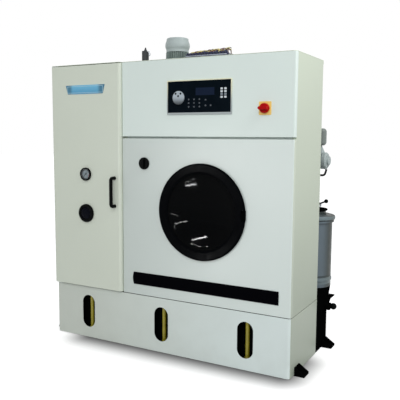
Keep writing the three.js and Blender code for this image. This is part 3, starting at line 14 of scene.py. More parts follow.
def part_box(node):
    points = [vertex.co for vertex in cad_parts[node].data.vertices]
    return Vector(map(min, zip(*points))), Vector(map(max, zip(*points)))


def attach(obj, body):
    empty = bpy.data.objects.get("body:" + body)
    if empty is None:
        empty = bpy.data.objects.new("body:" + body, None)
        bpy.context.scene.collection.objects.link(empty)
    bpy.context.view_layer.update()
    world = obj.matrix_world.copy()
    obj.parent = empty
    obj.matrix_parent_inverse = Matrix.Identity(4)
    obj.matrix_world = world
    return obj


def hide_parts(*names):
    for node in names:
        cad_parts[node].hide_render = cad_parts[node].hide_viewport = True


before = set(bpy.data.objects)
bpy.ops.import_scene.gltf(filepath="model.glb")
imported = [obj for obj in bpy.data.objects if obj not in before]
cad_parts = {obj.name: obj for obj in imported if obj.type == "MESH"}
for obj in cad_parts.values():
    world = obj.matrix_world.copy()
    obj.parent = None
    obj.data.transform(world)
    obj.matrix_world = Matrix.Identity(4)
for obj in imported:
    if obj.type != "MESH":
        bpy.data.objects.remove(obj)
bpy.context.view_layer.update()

# ---------------------------------------------------------------- camera and floor
CAMERA_PLACE = (1.9056, -3.3191, 1.3444)
CAMERA_TURN = 28.834  # degrees to the left of straight ahead
CAMERA_DIP = 6.174
CAMERA_ROLL = 0.346
FOCAL_PIXELS = 583.0
IMAGE_SIDE = 400
SENSOR = 36.0
FLOOR_HALF = 30.0
FLOOR_NEAR, FLOOR_FAR = 0.62, 0.85  # how much the floor shows of itself near and far
# middle and half size of the floor's painted shadow under the machine, in x and y
SHADE_X, SHADE_HALF_X, SHADE_Y, SHADE_HALF_Y = 0.11, 0.67, -0.20, 0.12

# ---------------------------------------------------------------- sizes
FRONT = -0.350
HALF_WIDTH = 0.845
DEPTH = 0.464
HEIGHT = 1.800
SHEET = 0.0022
FOLD = 0.0022
FLANGE, SIDE_FLANGE = 0.014, 0.028
THROUGH = FRONT - 0.01, FRONT + 0.01  # reach of a cutter through a front panel
SEAT = 0.0003  # gap between a seated piece and what it sits on
SHARP = 38  # degrees between faces from which an edge is drawn sharp
WELD = 2e-7  # points closer than this become one
# how much of a straight a rounded corner may take, and how far out its extra points lie
CORNER_SHARE, CORNER_OUTSIDE = 0.46, 1.08
PANEL_LOW, PANEL_HIGH = 0.353, 1.7967
COLUMN_LEFT, COLUMN_RIGHT = -0.845, -0.288
MAIN_LEFT = -0.285
SEAM_LOW, SEAM_HIGH = 1.333, 1.345
COLUMN_PROUD = 0.020
COLUMN_X = -0.560
GAUGE_Z, PORT_Z, PLATE_Z = 1.101, 0.847, 1.641
POINTER_TURN = 225  # degrees from +x, at the scale's zero
DOOR_X, DOOR_Z, DOOR_RADIUS, OPENING_RADIUS = 0.281, 0.905, 0.287, 0.262
DOOR_AXIS_X, DOOR_AXIS_Y = 0.558, FRONT - 0.0105
STRIPE_Z, STRIPE_HALF_W, STRIPE_HALF_H = 0.457, 0.4905, 0.039
CONTROL_X, CONTROL_Z = 0.260, 1.57275
CONTROL_W, CONTROL_H = 0.424, 0.198
CONTROL_SIDE, CONTROL_TOP, CONTROL_BOTTOM = 0.005, 0.006, 0.011
SCREEN_X, SCREEN_Z, SCREEN_W, SCREEN_H = CONTROL_X + 0.041, CONTROL_Z + 0.031, 0.122, 0.043
DIAL_X, DIAL_Z, DIAL_RADIUS = 0.127, 1.57075, 0.0395
SWITCH_X, SWITCH_Z, SWITCH_PLATE = 0.671, 1.50175, 0.073
LOCK_X, LOCK_Z = -0.120, 1.181
HANDLE_X, HANDLE_Z, HANDLE_HALF, HANDLE_REACH, HANDLE_BAR = -0.332, 0.995, 0.0885, 0.040, 0.011
SLOT_PITCH, SLOT_Z, SLOT_W, SLOT_H = 0.571, 0.184, 0.101, 0.218
DRAIN_X, DRAIN_Y, DRAIN_Z = 0.8393, FRONT + 0.650, 0.266
FAN_X, FAN_Y = 0.044, FRONT + 0.120
FILTER_X, FILTER_Y = 0.691, FRONT + 0.832
BANK_X, BANK_Y, BANK_PITCH, BANK_COUNT = 0.147, FRONT + 0.058, 0.0194, 14
BANK_LENGTH = BANK_COUNT * BANK_PITCH
REAR_Y, FRAME_FACE = FRONT + 0.675, 0.7353
PUMP_X, PUMP_Z, PUMP_RADIUS = 0.781, 1.198, 0.053
VALVE_X, VALVE_Z = 0.766, 0.915
DOOR_CENTRE = (DOOR_X, 0.0, DOOR_Z)  # the drum turns about it too
DRIVE_X, DRIVE_Z = -0.155, 0.455
BELT_Y, DRUM_PITCH, DRIVE_PITCH = FRONT + 0.602, 0.209, 0.046
PULLEY_HALF = 0.016
# ends, thickness and power of the strip lamps that only show as glints in the door glass
GLINTS = (((-0.47, -2.28, 0.20), (-0.67, -2.145, 0.18), 0.02, 4.2),
          ((-0.865, -3.10, 1.25), (-1.29, -2.86, 1.09), 0.03, 14.0),
          ((0.035, -3.35, 0.53), (-0.39, -3.30, 0.67), 0.008, 1.5),
          ((-0.28, -3.33, 0.90), (-0.67, -3.22, 0.79), 0.015, 3.8))

# ---------------------------------------------------------------- surfaces
AXES = {"x": (1, 2, 0), "y": (2, 0, 1), "z": (0, 1, 2)}
FACING, PLAN = (0, 2, 1), (0, 1, 2)  # an outline's two axes, and the axis of its levels


def grid_quads(rows, cols, close_rows, close_cols):
    """Quads between neighbouring points of a rows by cols grid stored row after row."""
    r = np.arange(rows if close_rows else rows - 1)[:, None]
    c = np.arange(cols if close_cols else cols - 1)[None, :]
    r2, c2 = (r + 1) % rows, (c + 1) % cols
    corners = (r * cols + c, r * cols + c2, r2 * cols + c2, r2 * cols + c)
    quads = np.stack([np.broadcast_to(k, (r.size, c.size)) for k in corners], -1)
    return quads.reshape(-1, 4).tolist()


def sealed(rows, cols):
    """Faces of a grid whose rows are closed, with its first and last row filled in."""
    last = [(rows - 1) * cols + i for i in range(cols)]
    return grid_quads(rows, cols, False, True) + [list(range(cols))[::-1], last]


def joined(*surfaces):
    """Several (points, faces) surfaces as one: points stacked, face numbers shifted."""
    points, faces, start = [], [], 0
    for p, f in surfaces:
        points.append(p)
        faces += [[i + start for i in face] for face in f]
        start += len(p)
    return np.concatenate(points), faces


def moved(surface, turn, centre):
    """The surface turned about a centre by Euler degrees."""
    points, faces = surface
    matrix = np.array(Euler(np.radians(turn)).to_matrix())
    return (points - centre) @ matrix.T + centre, faces


def copies(surface, count, axis, centre, start=0):
    """The surface repeated about an axis, at even angles from a start in degrees."""
    about = np.array([axis == name for name in "xyz"], float)
    return [moved(surface, about * (360 * k / count + start), centre) for k in range(count)]


def rounded(points, radius, steps, closed=False):
    """A polyline whose corners are parabolas of the given reach, with one more point just
    outside each, so that shading stays flat on the straights."""
    points = np.asarray(points, float)
    radii = np.broadcast_to(radius, len(points))
    t = np.linspace(0, 1, steps + 1)[:, None]
    out = []
    for i, corner in enumerate(points):
        if (not closed and i in (0, len(points) - 1)) or radii[i] <= 0:
            out.append(corner[None])
            continue
        before, after = points[i - 1] - corner, points[(i + 1) % len(points)] - corner
        lengths = np.linalg.norm(before), np.linalg.norm(after)
        reach = min(radii[i], CORNER_SHARE * lengths[0], CORNER_SHARE * lengths[1])
        a, b = before / lengths[0] * reach, after / lengths[1] * reach
        bend = (1 - t) ** 2 * a + t**2 * b
        bend = [a[None] * CORNER_OUTSIDE, bend, b[None] * CORNER_OUTSIDE]
        out.append(corner + np.concatenate(bend))
    return np.concatenate(out)


def arc(radius, start, end, centre, steps):
    """Points of a circular arc in a plane, its angles in degrees."""
    a = np.radians(np.linspace(start, end, steps + 1))
    return np.stack([centre[0] + radius * np.cos(a), centre[1] + radius * np.sin(a)], -1)


def rectangle(x, z, width, height, corner, steps):
    """Counter-clockwise rectangle outline in x and z with round corners."""
    w, h = width / 2 - corner, height / 2 - corner
    sides = ((1, 1), (-1, 1), (-1, -1), (1, -1))
    return np.concatenate([arc(corner, 90 * k, 90 * k + 90, (x + sx * w, z + sz * h), steps)
                           for k, (sx, sz) in enumerate(sides)])


def turned(profile, axis, at, radius, segments=72, steps=3):
    """Surface of revolution: point = at + r cos(a) u + r sin(a) v + h axis, for each profile
    point (r, h) and each angle a. The profile starts and ends on the axis, or closes on itself."""
    profile = np.asarray(profile, float)
    ring = profile[0][0] > 1e-9
    line = rounded(profile, radius, steps, closed=ring)
    angle = np.linspace(0, 2 * math.pi, segments, endpoint=False)
    r, h = line[:, 0:1], line[:, 1:2]
    place = np.zeros((len(line), segments, 3))
    u, v, w = AXES[axis]
    place[..., u] = r * np.cos(angle)
    place[..., v] = r * np.sin(angle)
    place[..., w] = h
    return (place + np.asarray(at)).reshape(-1, 3), grid_quads(len(line), segments, ring, True)


def rod(axis, at, radius, low, high, edge=0.0, segments=24):
    """A round bar along an axis from low to high, its ends' edges rounded."""
    return turned([(0, low), (radius, low), (radius, high), (0, high)], axis, at, edge, segments)


def ball(axis, at, radius, height):
    """A sphere on an axis: a half circle turned about it."""
    half = arc(radius, -90, 90, (0, height), 20)
    half[[0, -1], 0] = 0
    return turned(half, axis, at, 0.0, 32)


def box(low, high, radius=0.001, steps=2):
    """Rounded box: a sphere of the rounding's radius whose eight octants are moved apart to
    the corners; point = centre + sign * (half size - radius) + radius * unit normal."""
    low, high = np.minimum(low, high), np.maximum(low, high)
    half = (high - low) / 2
    radius = min(radius, half.min() * 0.98)
    quarter = np.linspace(0, math.pi / 2, steps + 1)
    turn = np.concatenate([quarter + k * math.pi / 2 for k in range(4)])
    tilt = np.concatenate([quarter - math.pi / 2, quarter])
    sign_x = np.repeat([1.0, -1.0, -1.0, 1.0], steps + 1)
    sign_y = np.repeat([1.0, 1.0, -1.0, -1.0], steps + 1)
    sign_z = np.repeat([-1.0, 1.0], steps + 1)
    c, s = np.cos(tilt)[:, None], np.sin(tilt)[:, None]
    x = sign_x * (half[0] - radius) + radius * c * np.cos(turn)
    y = sign_y * (half[1] - radius) + radius * c * np.sin(turn)
    z = sign_z[:, None] * (half[2] - radius) + radius * s + 0 * turn
    points = np.stack([x, y, z], -1) + (low + high) / 2
    return points.reshape(-1, 3), sealed(len(tilt), len(turn))


def tube(path, radius, side, segments):
    """Round bar along a path in one plane: point = path + radius (cos(a) n + sin(a) side), where
    n is side x tangent."""
    path = np.asarray(path, float)
    tangent = np.gradient(path, axis=0)
    tangent /= np.linalg.norm(tangent, axis=1)[:, None]
    normal = np.cross(side, tangent)
    angle = np.linspace(0, 2 * math.pi, segments, endpoint=False)[None, :, None]
    around = np.cos(angle) * normal[:, None] + np.sin(angle) * np.asarray(side, float)
    return (path[:, None] + radius * around).reshape(-1, 3), sealed(len(path), segments)


def inward(line, closed):
    """Unit normals to the left of a plane line, so inside a counter-clockwise outline."""
    run = np.roll(line, -1, 0) - np.roll(line, 1, 0) if closed else np.gradient(line, axis=0)
    run /= np.linalg.norm(run, axis=1)[:, None]
    return np.stack([-run[:, 1], run[:, 0]], -1)


def layered(outline, inset, level, axes=FACING, closed=True):
    """A plane outline repeated at every level, each time moved along its own inward normals by
    that level's inset, with its first and last level filled in."""
    flat = outline[None] + np.asarray(inset)[:, None, None] * inward(outline, closed)[None]
    points = np.zeros((len(inset), len(outline), 3))
    points[..., axes[0]], points[..., axes[1]] = flat[..., 0], flat[..., 1]
    points[..., axes[2]] = np.asarray(level)[:, None]
    return points.reshape(-1, 3), sealed(len(inset), len(outline))


def plate(outline, back, front, edge, steps=3, axes=FACING, rim=1.06):
    """Flat plate: its outline, pulled in along its own normals by the edge rounding as it comes
    forward, with a flat face in front and behind. The rim of the flat face is a bit further in."""
    t = np.linspace(0, math.pi / 2, steps + 1)
    inset = np.concatenate([[0.0], edge * (1 - np.cos(t)), [edge * rim]])
    way = 1 if back > front else -1
    level = np.concatenate([[back], front + way * edge * (1 - np.sin(t)), [front]])
    return layered(np.asarray(outline, float), inset, level, axes)


def pad(x, z, width, height, corner, back, front, edge, steps=6):
    """A plate with round corners on the machine's front, back and front measured from it."""
    return plate(rectangle(x, z, width, height, corner, steps), FRONT - back, FRONT - front, edge)


def folded_sheet(left, right, front, back, low, high, left_round, right_round, flange=FLANGE):
    """Panel folded from sheet: a closed profile (inset, z) with a flange at top and bottom is
    carried along the plan path back-left, front-left, front-right, back-right; each point moves
    in from the path by its inset."""
    path = [(left, back), (left, front), (right, front), (right, back)]
    path = rounded(path, [0, left_round, right_round, 0], 10)
    t = SHEET
    section = [(flange, low), (0, low), (0, high), (flange, high), (flange, high - t),
               (t, high - t), (t, low + t), (flange, low + t)]
    reach = [0.0004, FOLD, FOLD, 0.0004, 0.0004, 0.0008, 0.0008, 0.0004]
    section = rounded(section, reach, 4, closed=True)
    points, _ = layered(path, section[:, 0], section[:, 1], PLAN, closed=False)
    rows, cols = len(section), len(path)
    ends = [[i * cols for i in range(rows)], [i * cols + cols - 1 for i in range(rows)][::-1]]
    return points, grid_quads(rows, cols, True, False) + ends


# ---------------------------------------------------------------- shader maths
def maths(operation):
    """A method that puts a wire and another value through the Math node of this operation."""
    return lambda wire, other: wire.graph.maths(operation, wire, other)


class Wire:
    """An output of a shader node; sums, products and comparisons of wires add Math nodes."""

    def __init__(self, graph, socket):
        self.graph, self.socket = graph, socket

    __add__, __sub__, __mul__ = maths("ADD"), maths("SUBTRACT"), maths("MULTIPLY")
    __truediv__, __gt__, __lt__ = maths("DIVIDE"), maths("GREATER_THAN"), maths("LESS_THAN")

    def __rsub__(self, other):
        return self.graph.maths("SUBTRACT", other, self)


class Graph:
    """A node tree under construction."""

    def __init__(self, tree):
        self.tree = tree

    def add(self, kind, settings, *values, out=0, **named):
        """A node of a type, its settings first, then the values or wires of its sockets."""
        node = self.tree.nodes.new(kind)
        for key, value in settings.items():
            setattr(node, key, value)
        for key, value in [*enumerate(values), *named.items()]:
            self.join(value, node.inputs[key.replace("_", " ") if isinstance(key, str) else key])
        return Wire(self, node.outputs[out])

    def join(self, value, socket):
        if isinstance(value, Wire):
            self.tree.links.new(value.socket, socket)
        else:
            socket.default_value = value

    def maths(self, operation, *values):
        return self.add("ShaderNodeMath", {"operation": operation}, *values)

    def seen(self):
        """1 for a ray from the camera, straight, through glass or off something shiny."""
        straight, shiny, through = (self.add("ShaderNodeLightPath", {}, out=f"Is {kind} Ray")
                                    for kind in ("Camera", "Glossy", "Transmission"))
        return self.maths("MAXIMUM", self.maths("MAXIMUM", straight, shiny), through)


class Paint(Graph):
    """One material under construction, with its Principled shader."""

    def __init__(self, name):
        self.material = bpy.data.materials.new(name)
        self.material.use_nodes = True
        super().__init__(self.material.node_tree)
        self.shader = self.tree.nodes["Principled BSDF"]

    def place(self):
        return self.add("ShaderNodeTexCoord", {}, out=3)

    def parts(self):
        """The x, y and z of the place."""
        node = self.tree.nodes.new("ShaderNodeSeparateXYZ")
        self.join(self.place(), node.inputs[0])
        return [Wire(self, node.outputs[i]) for i in range(3)]

    def noise(self, scale, detail=3.0, rough=0.5, where=None):
        return self.add("ShaderNodeTexNoise", {}, Vector=where or self.place(), Scale=scale,
                        Detail=detail, Roughness=rough)

    def brushing(self, *scale):
        """Noise drawn out along the axis with the smallest scale."""
        where = self.add("ShaderNodeMapping", {"vector_type": "TEXTURE"}, self.place(), (0, 0, 0),
                         (0, 0, 0), tuple(1 / s for s in scale))
        return self.noise(1.0, 2.0, where=where)

    def ramp(self, value, low, high, start=0.0, end=1.0):
        """Value mapped from low..high to start..end, clamped, on a smooth step."""
        return self.add("ShaderNodeMapRange", {"interpolation_type": "SMOOTHSTEP"}, value, low,
                        high, start, end)

    def gloss(self, value, start, end):
        """Roughness from start to end by the middle part of a noise."""
        return self.ramp(value, 0.3, 0.7, start, end)

    def blend(self, a, b, factor):
        node = self.tree.nodes.new("ShaderNodeMix")
        node.data_type = "RGBA"
        for value, key in ((factor, 0), (a, 6), (b, 7)):
            self.join(value, node.inputs[key])
        return Wire(self, node.outputs[2])

    def tint(self, colour, value, spread):
        """The colour made darker or lighter by spread as the value goes from 0 to 1."""
        return self.blend(scaled(colour, 1 - spread), scaled(colour, 1 + spread), value)

    def bump(self, height, strength, distance):
        normal = self.add("ShaderNodeBump", {}, Strength=strength, Distance=distance, Height=height)
        self.join(normal, self.shader.inputs["Normal"])

    def done(self, **sockets):
        """The material, with values and wires put on its shader's sockets."""
        for key, value in sockets.items():
            self.join(value, self.shader.inputs[key.replace("_", " ")])
        return self.material


def srgb(r, g, b):
    """A colour given in 0..255 screen values, as linear light."""
    c = np.array([r, g, b]) / 255
    c = np.where(c <= 0.04045, c / 12.92, ((c + 0.055) / 1.055) ** 2.4)
    return (*c.tolist(), 1.0)


def scaled(colour, factor):
    return tuple(min(1, c * factor) for c in colour[:3]) + (1,)


# ---------------------------------------------------------------- materials
# the side's tone, and the same tone darkened by painted shade, which it takes towards the floor
SIDE_TONE = srgb(200, 209, 192)
SIDE_PAINTED_SHADE = srgb(168, 177, 162)


def powder_coat(name, colour, dust_and_shade_amount=0.05, right=None, shine=0.5):
    """Powder-coated sheet: cloudy tone, fine orange peel, and a darkening towards the floor that is
    a little dirt, and painted shade where it is strong, as on the side. Where a second colour is
    given, a slow change to it towards the right-hand end paints the light growing across the front.
    The side's tone darkens downwards by painted shade, also on the sliver of a front panel that
    belongs to the side."""
    p = Paint(name)
    x, _, z = p.parts()
    cloud = p.noise(2.4, 4.0, 0.6)
    tone = p.tint(colour, cloud, 0.025)
    # painted shade: the side's tone darkens towards the floor
    if right or colour is SIDE_TONE:
        side_with_painted_shade = p.blend(p.tint(SIDE_TONE, cloud, 0.025), p.tint(SIDE_PAINTED_SHADE, cloud, 0.025),
                        p.ramp(z, 1.2, 0.0))
        if right:
            # painted light: the front gets lighter towards its right-hand end
            tone = p.blend(tone, p.tint(right, cloud, 0.025), p.ramp(x, -HALF_WIDTH, HALF_WIDTH))
        tone = p.blend(tone, side_with_painted_shade, x > HALF_WIDTH - 0.003) if right else side_with_painted_shade
    # darkening towards the floor: a little dirt, and painted shade where the amount is large
    dust_and_shade = p.ramp(z, 0.55, 0.0) * p.ramp(p.noise(7.0, 5.0), 0.35, 0.75) * dust_and_shade_amount
    p.bump(p.noise(900.0, 1.0), 0.06, 0.0004)
    return p.done(Base_Color=p.blend(tone, scaled(colour, 0.72), dust_and_shade),
                  Roughness=p.ramp(cloud, 0.2, 0.8, 0.37, 0.48), Specular_IOR_Level=shine,
                  Coat_Weight=0.24 * shine, Coat_Roughness=0.25)


def enamel(name, colour, roughness, spread=0.12, bump=0.15, shine=0.5):
    """Brushed-on enamel over a casting: uneven gloss and a rough skin."""
    p = Paint(name)
    cloud = p.noise(22.0, 5.0, 0.6)
    p.bump(p.noise(240.0, 3.0), bump, 0.0008)
    return p.done(Base_Color=p.tint(colour, cloud, spread), Specular_IOR_Level=shine,
                  Roughness=p.gloss(cloud, roughness - 0.07, roughness + 0.12))


def moulded(name, colour, roughness, grain=0.1, shine=0.5):
    """Moulded plastic: fine even grain and slight handling shine."""
    p = Paint(name)
    cloud = p.noise(30.0, 3.0)
    p.bump(p.noise(1600.0, 1.0), grain, 0.0003)
    return p.done(Base_Color=p.tint(colour, cloud, 0.08), Specular_IOR_Level=shine,
                  Roughness=p.gloss(cloud, roughness - 0.05, roughness + 0.06))


def brushed(name, colour, along, roughness):
    """Brushed metal: noise drawn out along the brushing direction."""
    p = Paint(name)
    lines = p.brushing(*(6 if axis == along else 700 for axis in "xyz"))
    p.bump(lines, 0.08, 0.0002)
    return p.done(Base_Color=p.tint(colour, lines, 0.12), Metallic=1.0,
                  Roughness=p.gloss(lines, roughness - 0.08, roughness + 0.12))


def smoked_glass(name, tint, alpha, shine):
    """Polished dark glass that lets a little of what is behind it through."""
    p = Paint(name)
    smear = p.noise(9.0, 4.0)
    return p.done(Base_Color=tint, Roughness=p.ramp(smear, 0.4, 0.8, 0.015, 0.05),
                  Alpha=p.ramp(smear, 0.0, 1.0, alpha, alpha + 0.02), Specular_IOR_Level=shine)


def sight_brass():
    """Lacquered brass tube, lighter in cloudy patches, the lighter tone a painted highlight."""
    p = Paint("sight_brass")
    cloud = p.noise(26.0, 4.0)
    return p.done(Base_Color=p.blend(srgb(122, 113, 20), srgb(168, 156, 42), cloud),
                  Roughness=p.gloss(cloud, 0.25, 0.42), Metallic=0.1)


def blue_plate():
    """Printed blue plate with a pale line round its edge and darker ends."""
    p = Paint("blue_plate")
    x, _, z = p.parts()
    across, up = p.maths("ABSOLUTE", x - COLUMN_X), p.maths("ABSOLUTE", z - PLATE_Z)
    inside = (across < 0.143) * (up < 0.0215)
    rim = inside * (1 - (across < 0.1405) * (up < 0.019))
    height = p.ramp(z, PLATE_Z - 0.028, PLATE_Z + 0.028)
    tone = p.blend(srgb(78, 154, 194), srgb(108, 184, 218), height)
    tone = p.blend(tone, srgb(58, 118, 146), p.ramp(across, 0.095, 0.125))
    return p.done(Base_Color=p.blend(tone, srgb(170, 205, 220), rim),
                  Roughness=p.gloss(p.noise(40.0), 0.3, 0.4))


def gauge_scale():
    """Pale dial with 50 fine and 10 long marks over 270 degrees, a red end zone, a dark border."""
    p = Paint("gauge_scale")
    x, _, z = p.parts()
    dx, dz = x - COLUMN_X, z - GAUGE_Z
    r = p.maths("SQRT", dx * dx + dz * dz)
    along = (p.maths("ARCTAN2", dx, dz) / (2 * math.pi) + 0.375) / 0.75
    on_scale = (along > -0.004) * (along < 1.004)
    fine, long = p.maths("PINGPONG", along * 50, 0.5), p.maths("PINGPONG", along * 10, 0.5)
    marks = ((fine < 0.11) * (r > 0.0225) + (long < 0.035) * (r > 0.0195)) * (r < 0.0255)
    zone = (along > 0.8) * (r > 0.0255) * (r < 0.0268) * on_scale
    face = p.tint(srgb(124, 138, 143), p.noise(60.0), 0.04)
    face = p.blend(face, srgb(18, 26, 25), r > 0.0268)
    face = p.blend(face, srgb(20, 24, 30), p.maths("MINIMUM", marks * on_scale, 1.0))
    return p.done(Base_Color=p.blend(face, srgb(170, 30, 24), zone), Roughness=0.4)


def panel_glass():
    """Dark blue control face: near-black edge, lighter screen window and a faint cloudy sheen."""
    p = Paint("control_face")
    x, _, z = p.parts()
    cloud = p.noise(14.0, 3.0)
    base = p.blend(srgb(4, 11, 16), srgb(11, 20, 28), cloud)
    left, right = SCREEN_X - SCREEN_W / 2, SCREEN_X + SCREEN_W / 2
    low, high = SCREEN_Z - SCREEN_H / 2, SCREEN_Z + SCREEN_H / 2
    window = (x > left) * (x < right) * (z > low) * (z < high)
    line = p.maths("PINGPONG", (x - left) * 420, 0.5)
    screen = p.blend(srgb(22, 31, 48), srgb(28, 38, 58), p.ramp(line, 0.1, 0.4))
    return p.done(Base_Color=p.blend(base, screen, window), Roughness=p.gloss(cloud, 0.16, 0.3),
                  Specular_IOR_Level=0.01)


def dial_metal():
    """Silver dial with upright brushing; painted light makes it bright above and darker towards its
    lower edge.
    """
    p = Paint("dial_silver")
    z = p.parts()[2]
    lines = p.brushing(900, 900, 20)
    # painted light: bright above, painted shade towards the lower edge
    painted_light_ramp = p.ramp(z, DIAL_Z - 0.038, DIAL_Z + 0.010)
    tone = p.blend(srgb(28, 38, 44), srgb(168, 180, 188), painted_light_ramp)
    return p.done(Base_Color=p.blend(tone, srgb(120, 128, 132), lines * 0.4), Metallic=0.12,
                  Roughness=p.gloss(lines, 0.3, 0.45), Specular_IOR_Level=0.25)


def filter_paint():
    """Slate paint of the filter: bluish in front and darkened behind by painted shade, with pale
    bands of painted highlight on the lower bead and the lid's rim, painted shade lines under the
    lid and above the lower bead, and the lid's own darker top.
    """
    p = Paint("filter_slate")
    _, y, z = p.parts()
    # painted shade: darker towards the back, away from the light
    behind = p.ramp(y, FILTER_Y - 0.114, FILTER_Y - 0.022)
    tone = p.blend(srgb(116, 130, 140), srgb(46, 54, 50), behind)
    # pale: painted highlights on the lower bead and the lid's rim; dark: the lid's own darker top,
    # and painted shade lines under the lid and above the lower bead
    pale = (z > 0.372) * (z < 0.416) + (z > 0.806) * (z < 0.826)
    dark = (z > 0.416) * (z < 0.430) + (z > 0.828) + (z > 0.795) * (z < 0.805)
    cloud = p.noise(22.0, 5.0, 0.6)
    for other, amount in ((srgb(128, 144, 146), pale * 0.55), (srgb(40, 50, 48), dark * 0.7),
                          (srgb(60, 66, 66), cloud * 0.15)):
        tone = p.blend(tone, other, amount)
    p.bump(p.noise(240.0, 3.0), 0.05, 0.0008)
    return p.done(Base_Color=tone, Roughness=p.gloss(cloud, 0.3, 0.48), Specular_IOR_Level=0.3)


def key_caps():
    """Keys by place: the two right-hand columns white with a grey third row, the rest dark."""
    p = Paint("key_caps")
    x, _, z = p.parts()
    third = (z > CONTROL_Z + 0.0045) * (z < CONTROL_Z + 0.0195)
    tone = p.blend(srgb(208, 216, 220), srgb(132, 142, 150), third)
    tone = p.blend(srgb(22, 28, 36), tone, x > CONTROL_X + 0.13)
    return p.done(Base_Color=p.blend(tone, srgb(120, 126, 130), p.noise(300.0) * 0.06),
                  Roughness=0.42, Specular_IOR_Level=0.1)


def tube_colours():
    """Air tubes: yellow, brown, red and blue by their place along the bank, on a grey trunk."""
    p = Paint("air_tube_colours")
    x, _, z = p.parts()
    step = p.maths("FLOOR", (x - BANK_X) / BANK_PITCH)
    pick = p.add("ShaderNodeTexWhiteNoise", {"noise_dimensions": "1D"}, W=step * 1.7 + 3.0)
    tone = srgb(204, 192, 124)
    for other, choice in ((srgb(116, 92, 74), pick > 0.3), (srgb(118, 62, 60), pick > 0.55),
                          (srgb(40, 48, 84), pick > 0.8), (srgb(92, 96, 104), z < HEIGHT + 0.0205)):
        tone = p.blend(tone, other, choice)
    return p.done(Base_Color=tone, Roughness=p.gloss(p.noise(80.0), 0.3, 0.45))


def bezel_trim():
    """Satin trim round the controls: a painted highlight makes it pale beige on its upper edge,
    grey on the lower one.
    """
    p = Paint("bezel_trim")
    # painted light: the trim lighter towards its top
    height = p.ramp(p.parts()[2], CONTROL_Z - 0.05, CONTROL_Z + 0.08)
    tone = p.blend(srgb(158, 166, 168), srgb(228, 228, 198), height)
    lines = p.brushing(6, 700, 700)
    return p.done(Base_Color=p.blend(tone, srgb(120, 124, 124), lines * 0.2),
                  Roughness=p.gloss(lines, 0.3, 0.45))


# one ivory paint in five tones, one per panel: the tones differ by the light and shade each panel
# gets, painted in
IVORY = powder_coat("ivory_front", srgb(189, 198, 193), right=srgb(215, 225, 221))
IVORY_UPPER = powder_coat("ivory_upper", srgb(216, 228, 223))
IVORY_COLUMN = powder_coat("ivory_column", srgb(209, 216, 202))
IVORY_SIDE = powder_coat("ivory_side", SIDE_TONE, 0.8, shine=0.1)
IVORY_BASE = powder_coat("ivory_base", srgb(205, 211, 202), 0.15, srgb(220, 231, 229), 0.2)
BLACK_PAINT = enamel("black_enamel", srgb(7, 8, 8), 0.6, shine=0.0)
MOTOR_GREY = enamel("motor_grey", srgb(164, 175, 174), 0.4, 0.05, shine=0.3)
FIN_GREY = enamel("fin_grey", srgb(128, 142, 138), 0.5, 0.1)
VALVE_DARK = enamel("valve_dark", srgb(52, 54, 56), 0.45, 0.25, 0.2, 0.3)
CAST = enamel("cast_iron", srgb(120, 128, 124), 0.5, 0.15, 0.4)
BLACK_PLASTIC = moulded("black_plastic", srgb(8, 10, 10), 0.36, shine=0.03)
STRIPE_BLACK = moulded("stripe_black", srgb(4, 4, 7), 0.4, 0.03, 0.005)
DOOR_BLACK = moulded("door_black", srgb(4, 5, 7), 0.22, 0.04, 0.012)
RUBBER = moulded("rubber", srgb(22, 22, 22), 0.75, 0.3)
YELLOW = moulded("yellow_plate", srgb(240, 204, 112), 0.45, 0.03, 0.3)
RED = moulded("red_knob", srgb(172, 2, 8), 0.35, 0.03, 0.06)
NAVY = moulded("valve_navy", srgb(46, 50, 74), 0.4, 0.05, 0.2)
MARKS = moulded("pale_marks", srgb(104, 112, 118), 0.5, 0.02, 0.05)
TUBE_YELLOW, TUBE_BROWN, TUBE_PLUM, TUBE_DARK, PALE_STRIP = (
    moulded(name, srgb(*tone), 0.4, 0.02, 0.2) for name, tone in (
        ("tube_yellow", (212, 202, 140)), ("tube_brown", (126, 102, 92)),
        ("tube_plum", (104, 66, 72)), ("tube_dark", (50, 46, 52)), ("pale_strip", (196, 202, 216))))
STEEL = brushed("brushed_steel", srgb(196, 200, 204), "x", 0.32)
STEEL_ROUND = brushed("turned_steel", srgb(190, 194, 198), "y", 0.3)
DARK_STEEL = brushed("drum_steel", srgb(150, 154, 158), "y", 0.34)
GLASS_DARK = smoked_glass("smoked_glass", srgb(1, 2, 3), 0.97, 0.03)
PORT_DARK = smoked_glass("port_glass", srgb(6, 9, 20), 0.9, 0.04)
CLEAR = smoked_glass("clear_cover", srgb(200, 208, 212), 0.03, 0.2)
BRASS = sight_brass()
BLUE = blue_plate()
TRIM = bezel_trim()
SCALE = gauge_scale()
FILTER_SLATE = filter_paint()
CONTROL_GLASS = panel_glass()
DIAL = dial_metal()
KEYS = key_caps()
TUBES = tube_colours()


# ---------------------------------------------------------------- making pieces
def shaded(mesh):
    """Smooth shading, with sharp edges where faces meet at an angle."""
    mesh.polygons.foreach_set("use_smooth", np.ones(len(mesh.polygons), bool))
    mesh.set_sharp_from_angle(angle=math.radians(SHARP))


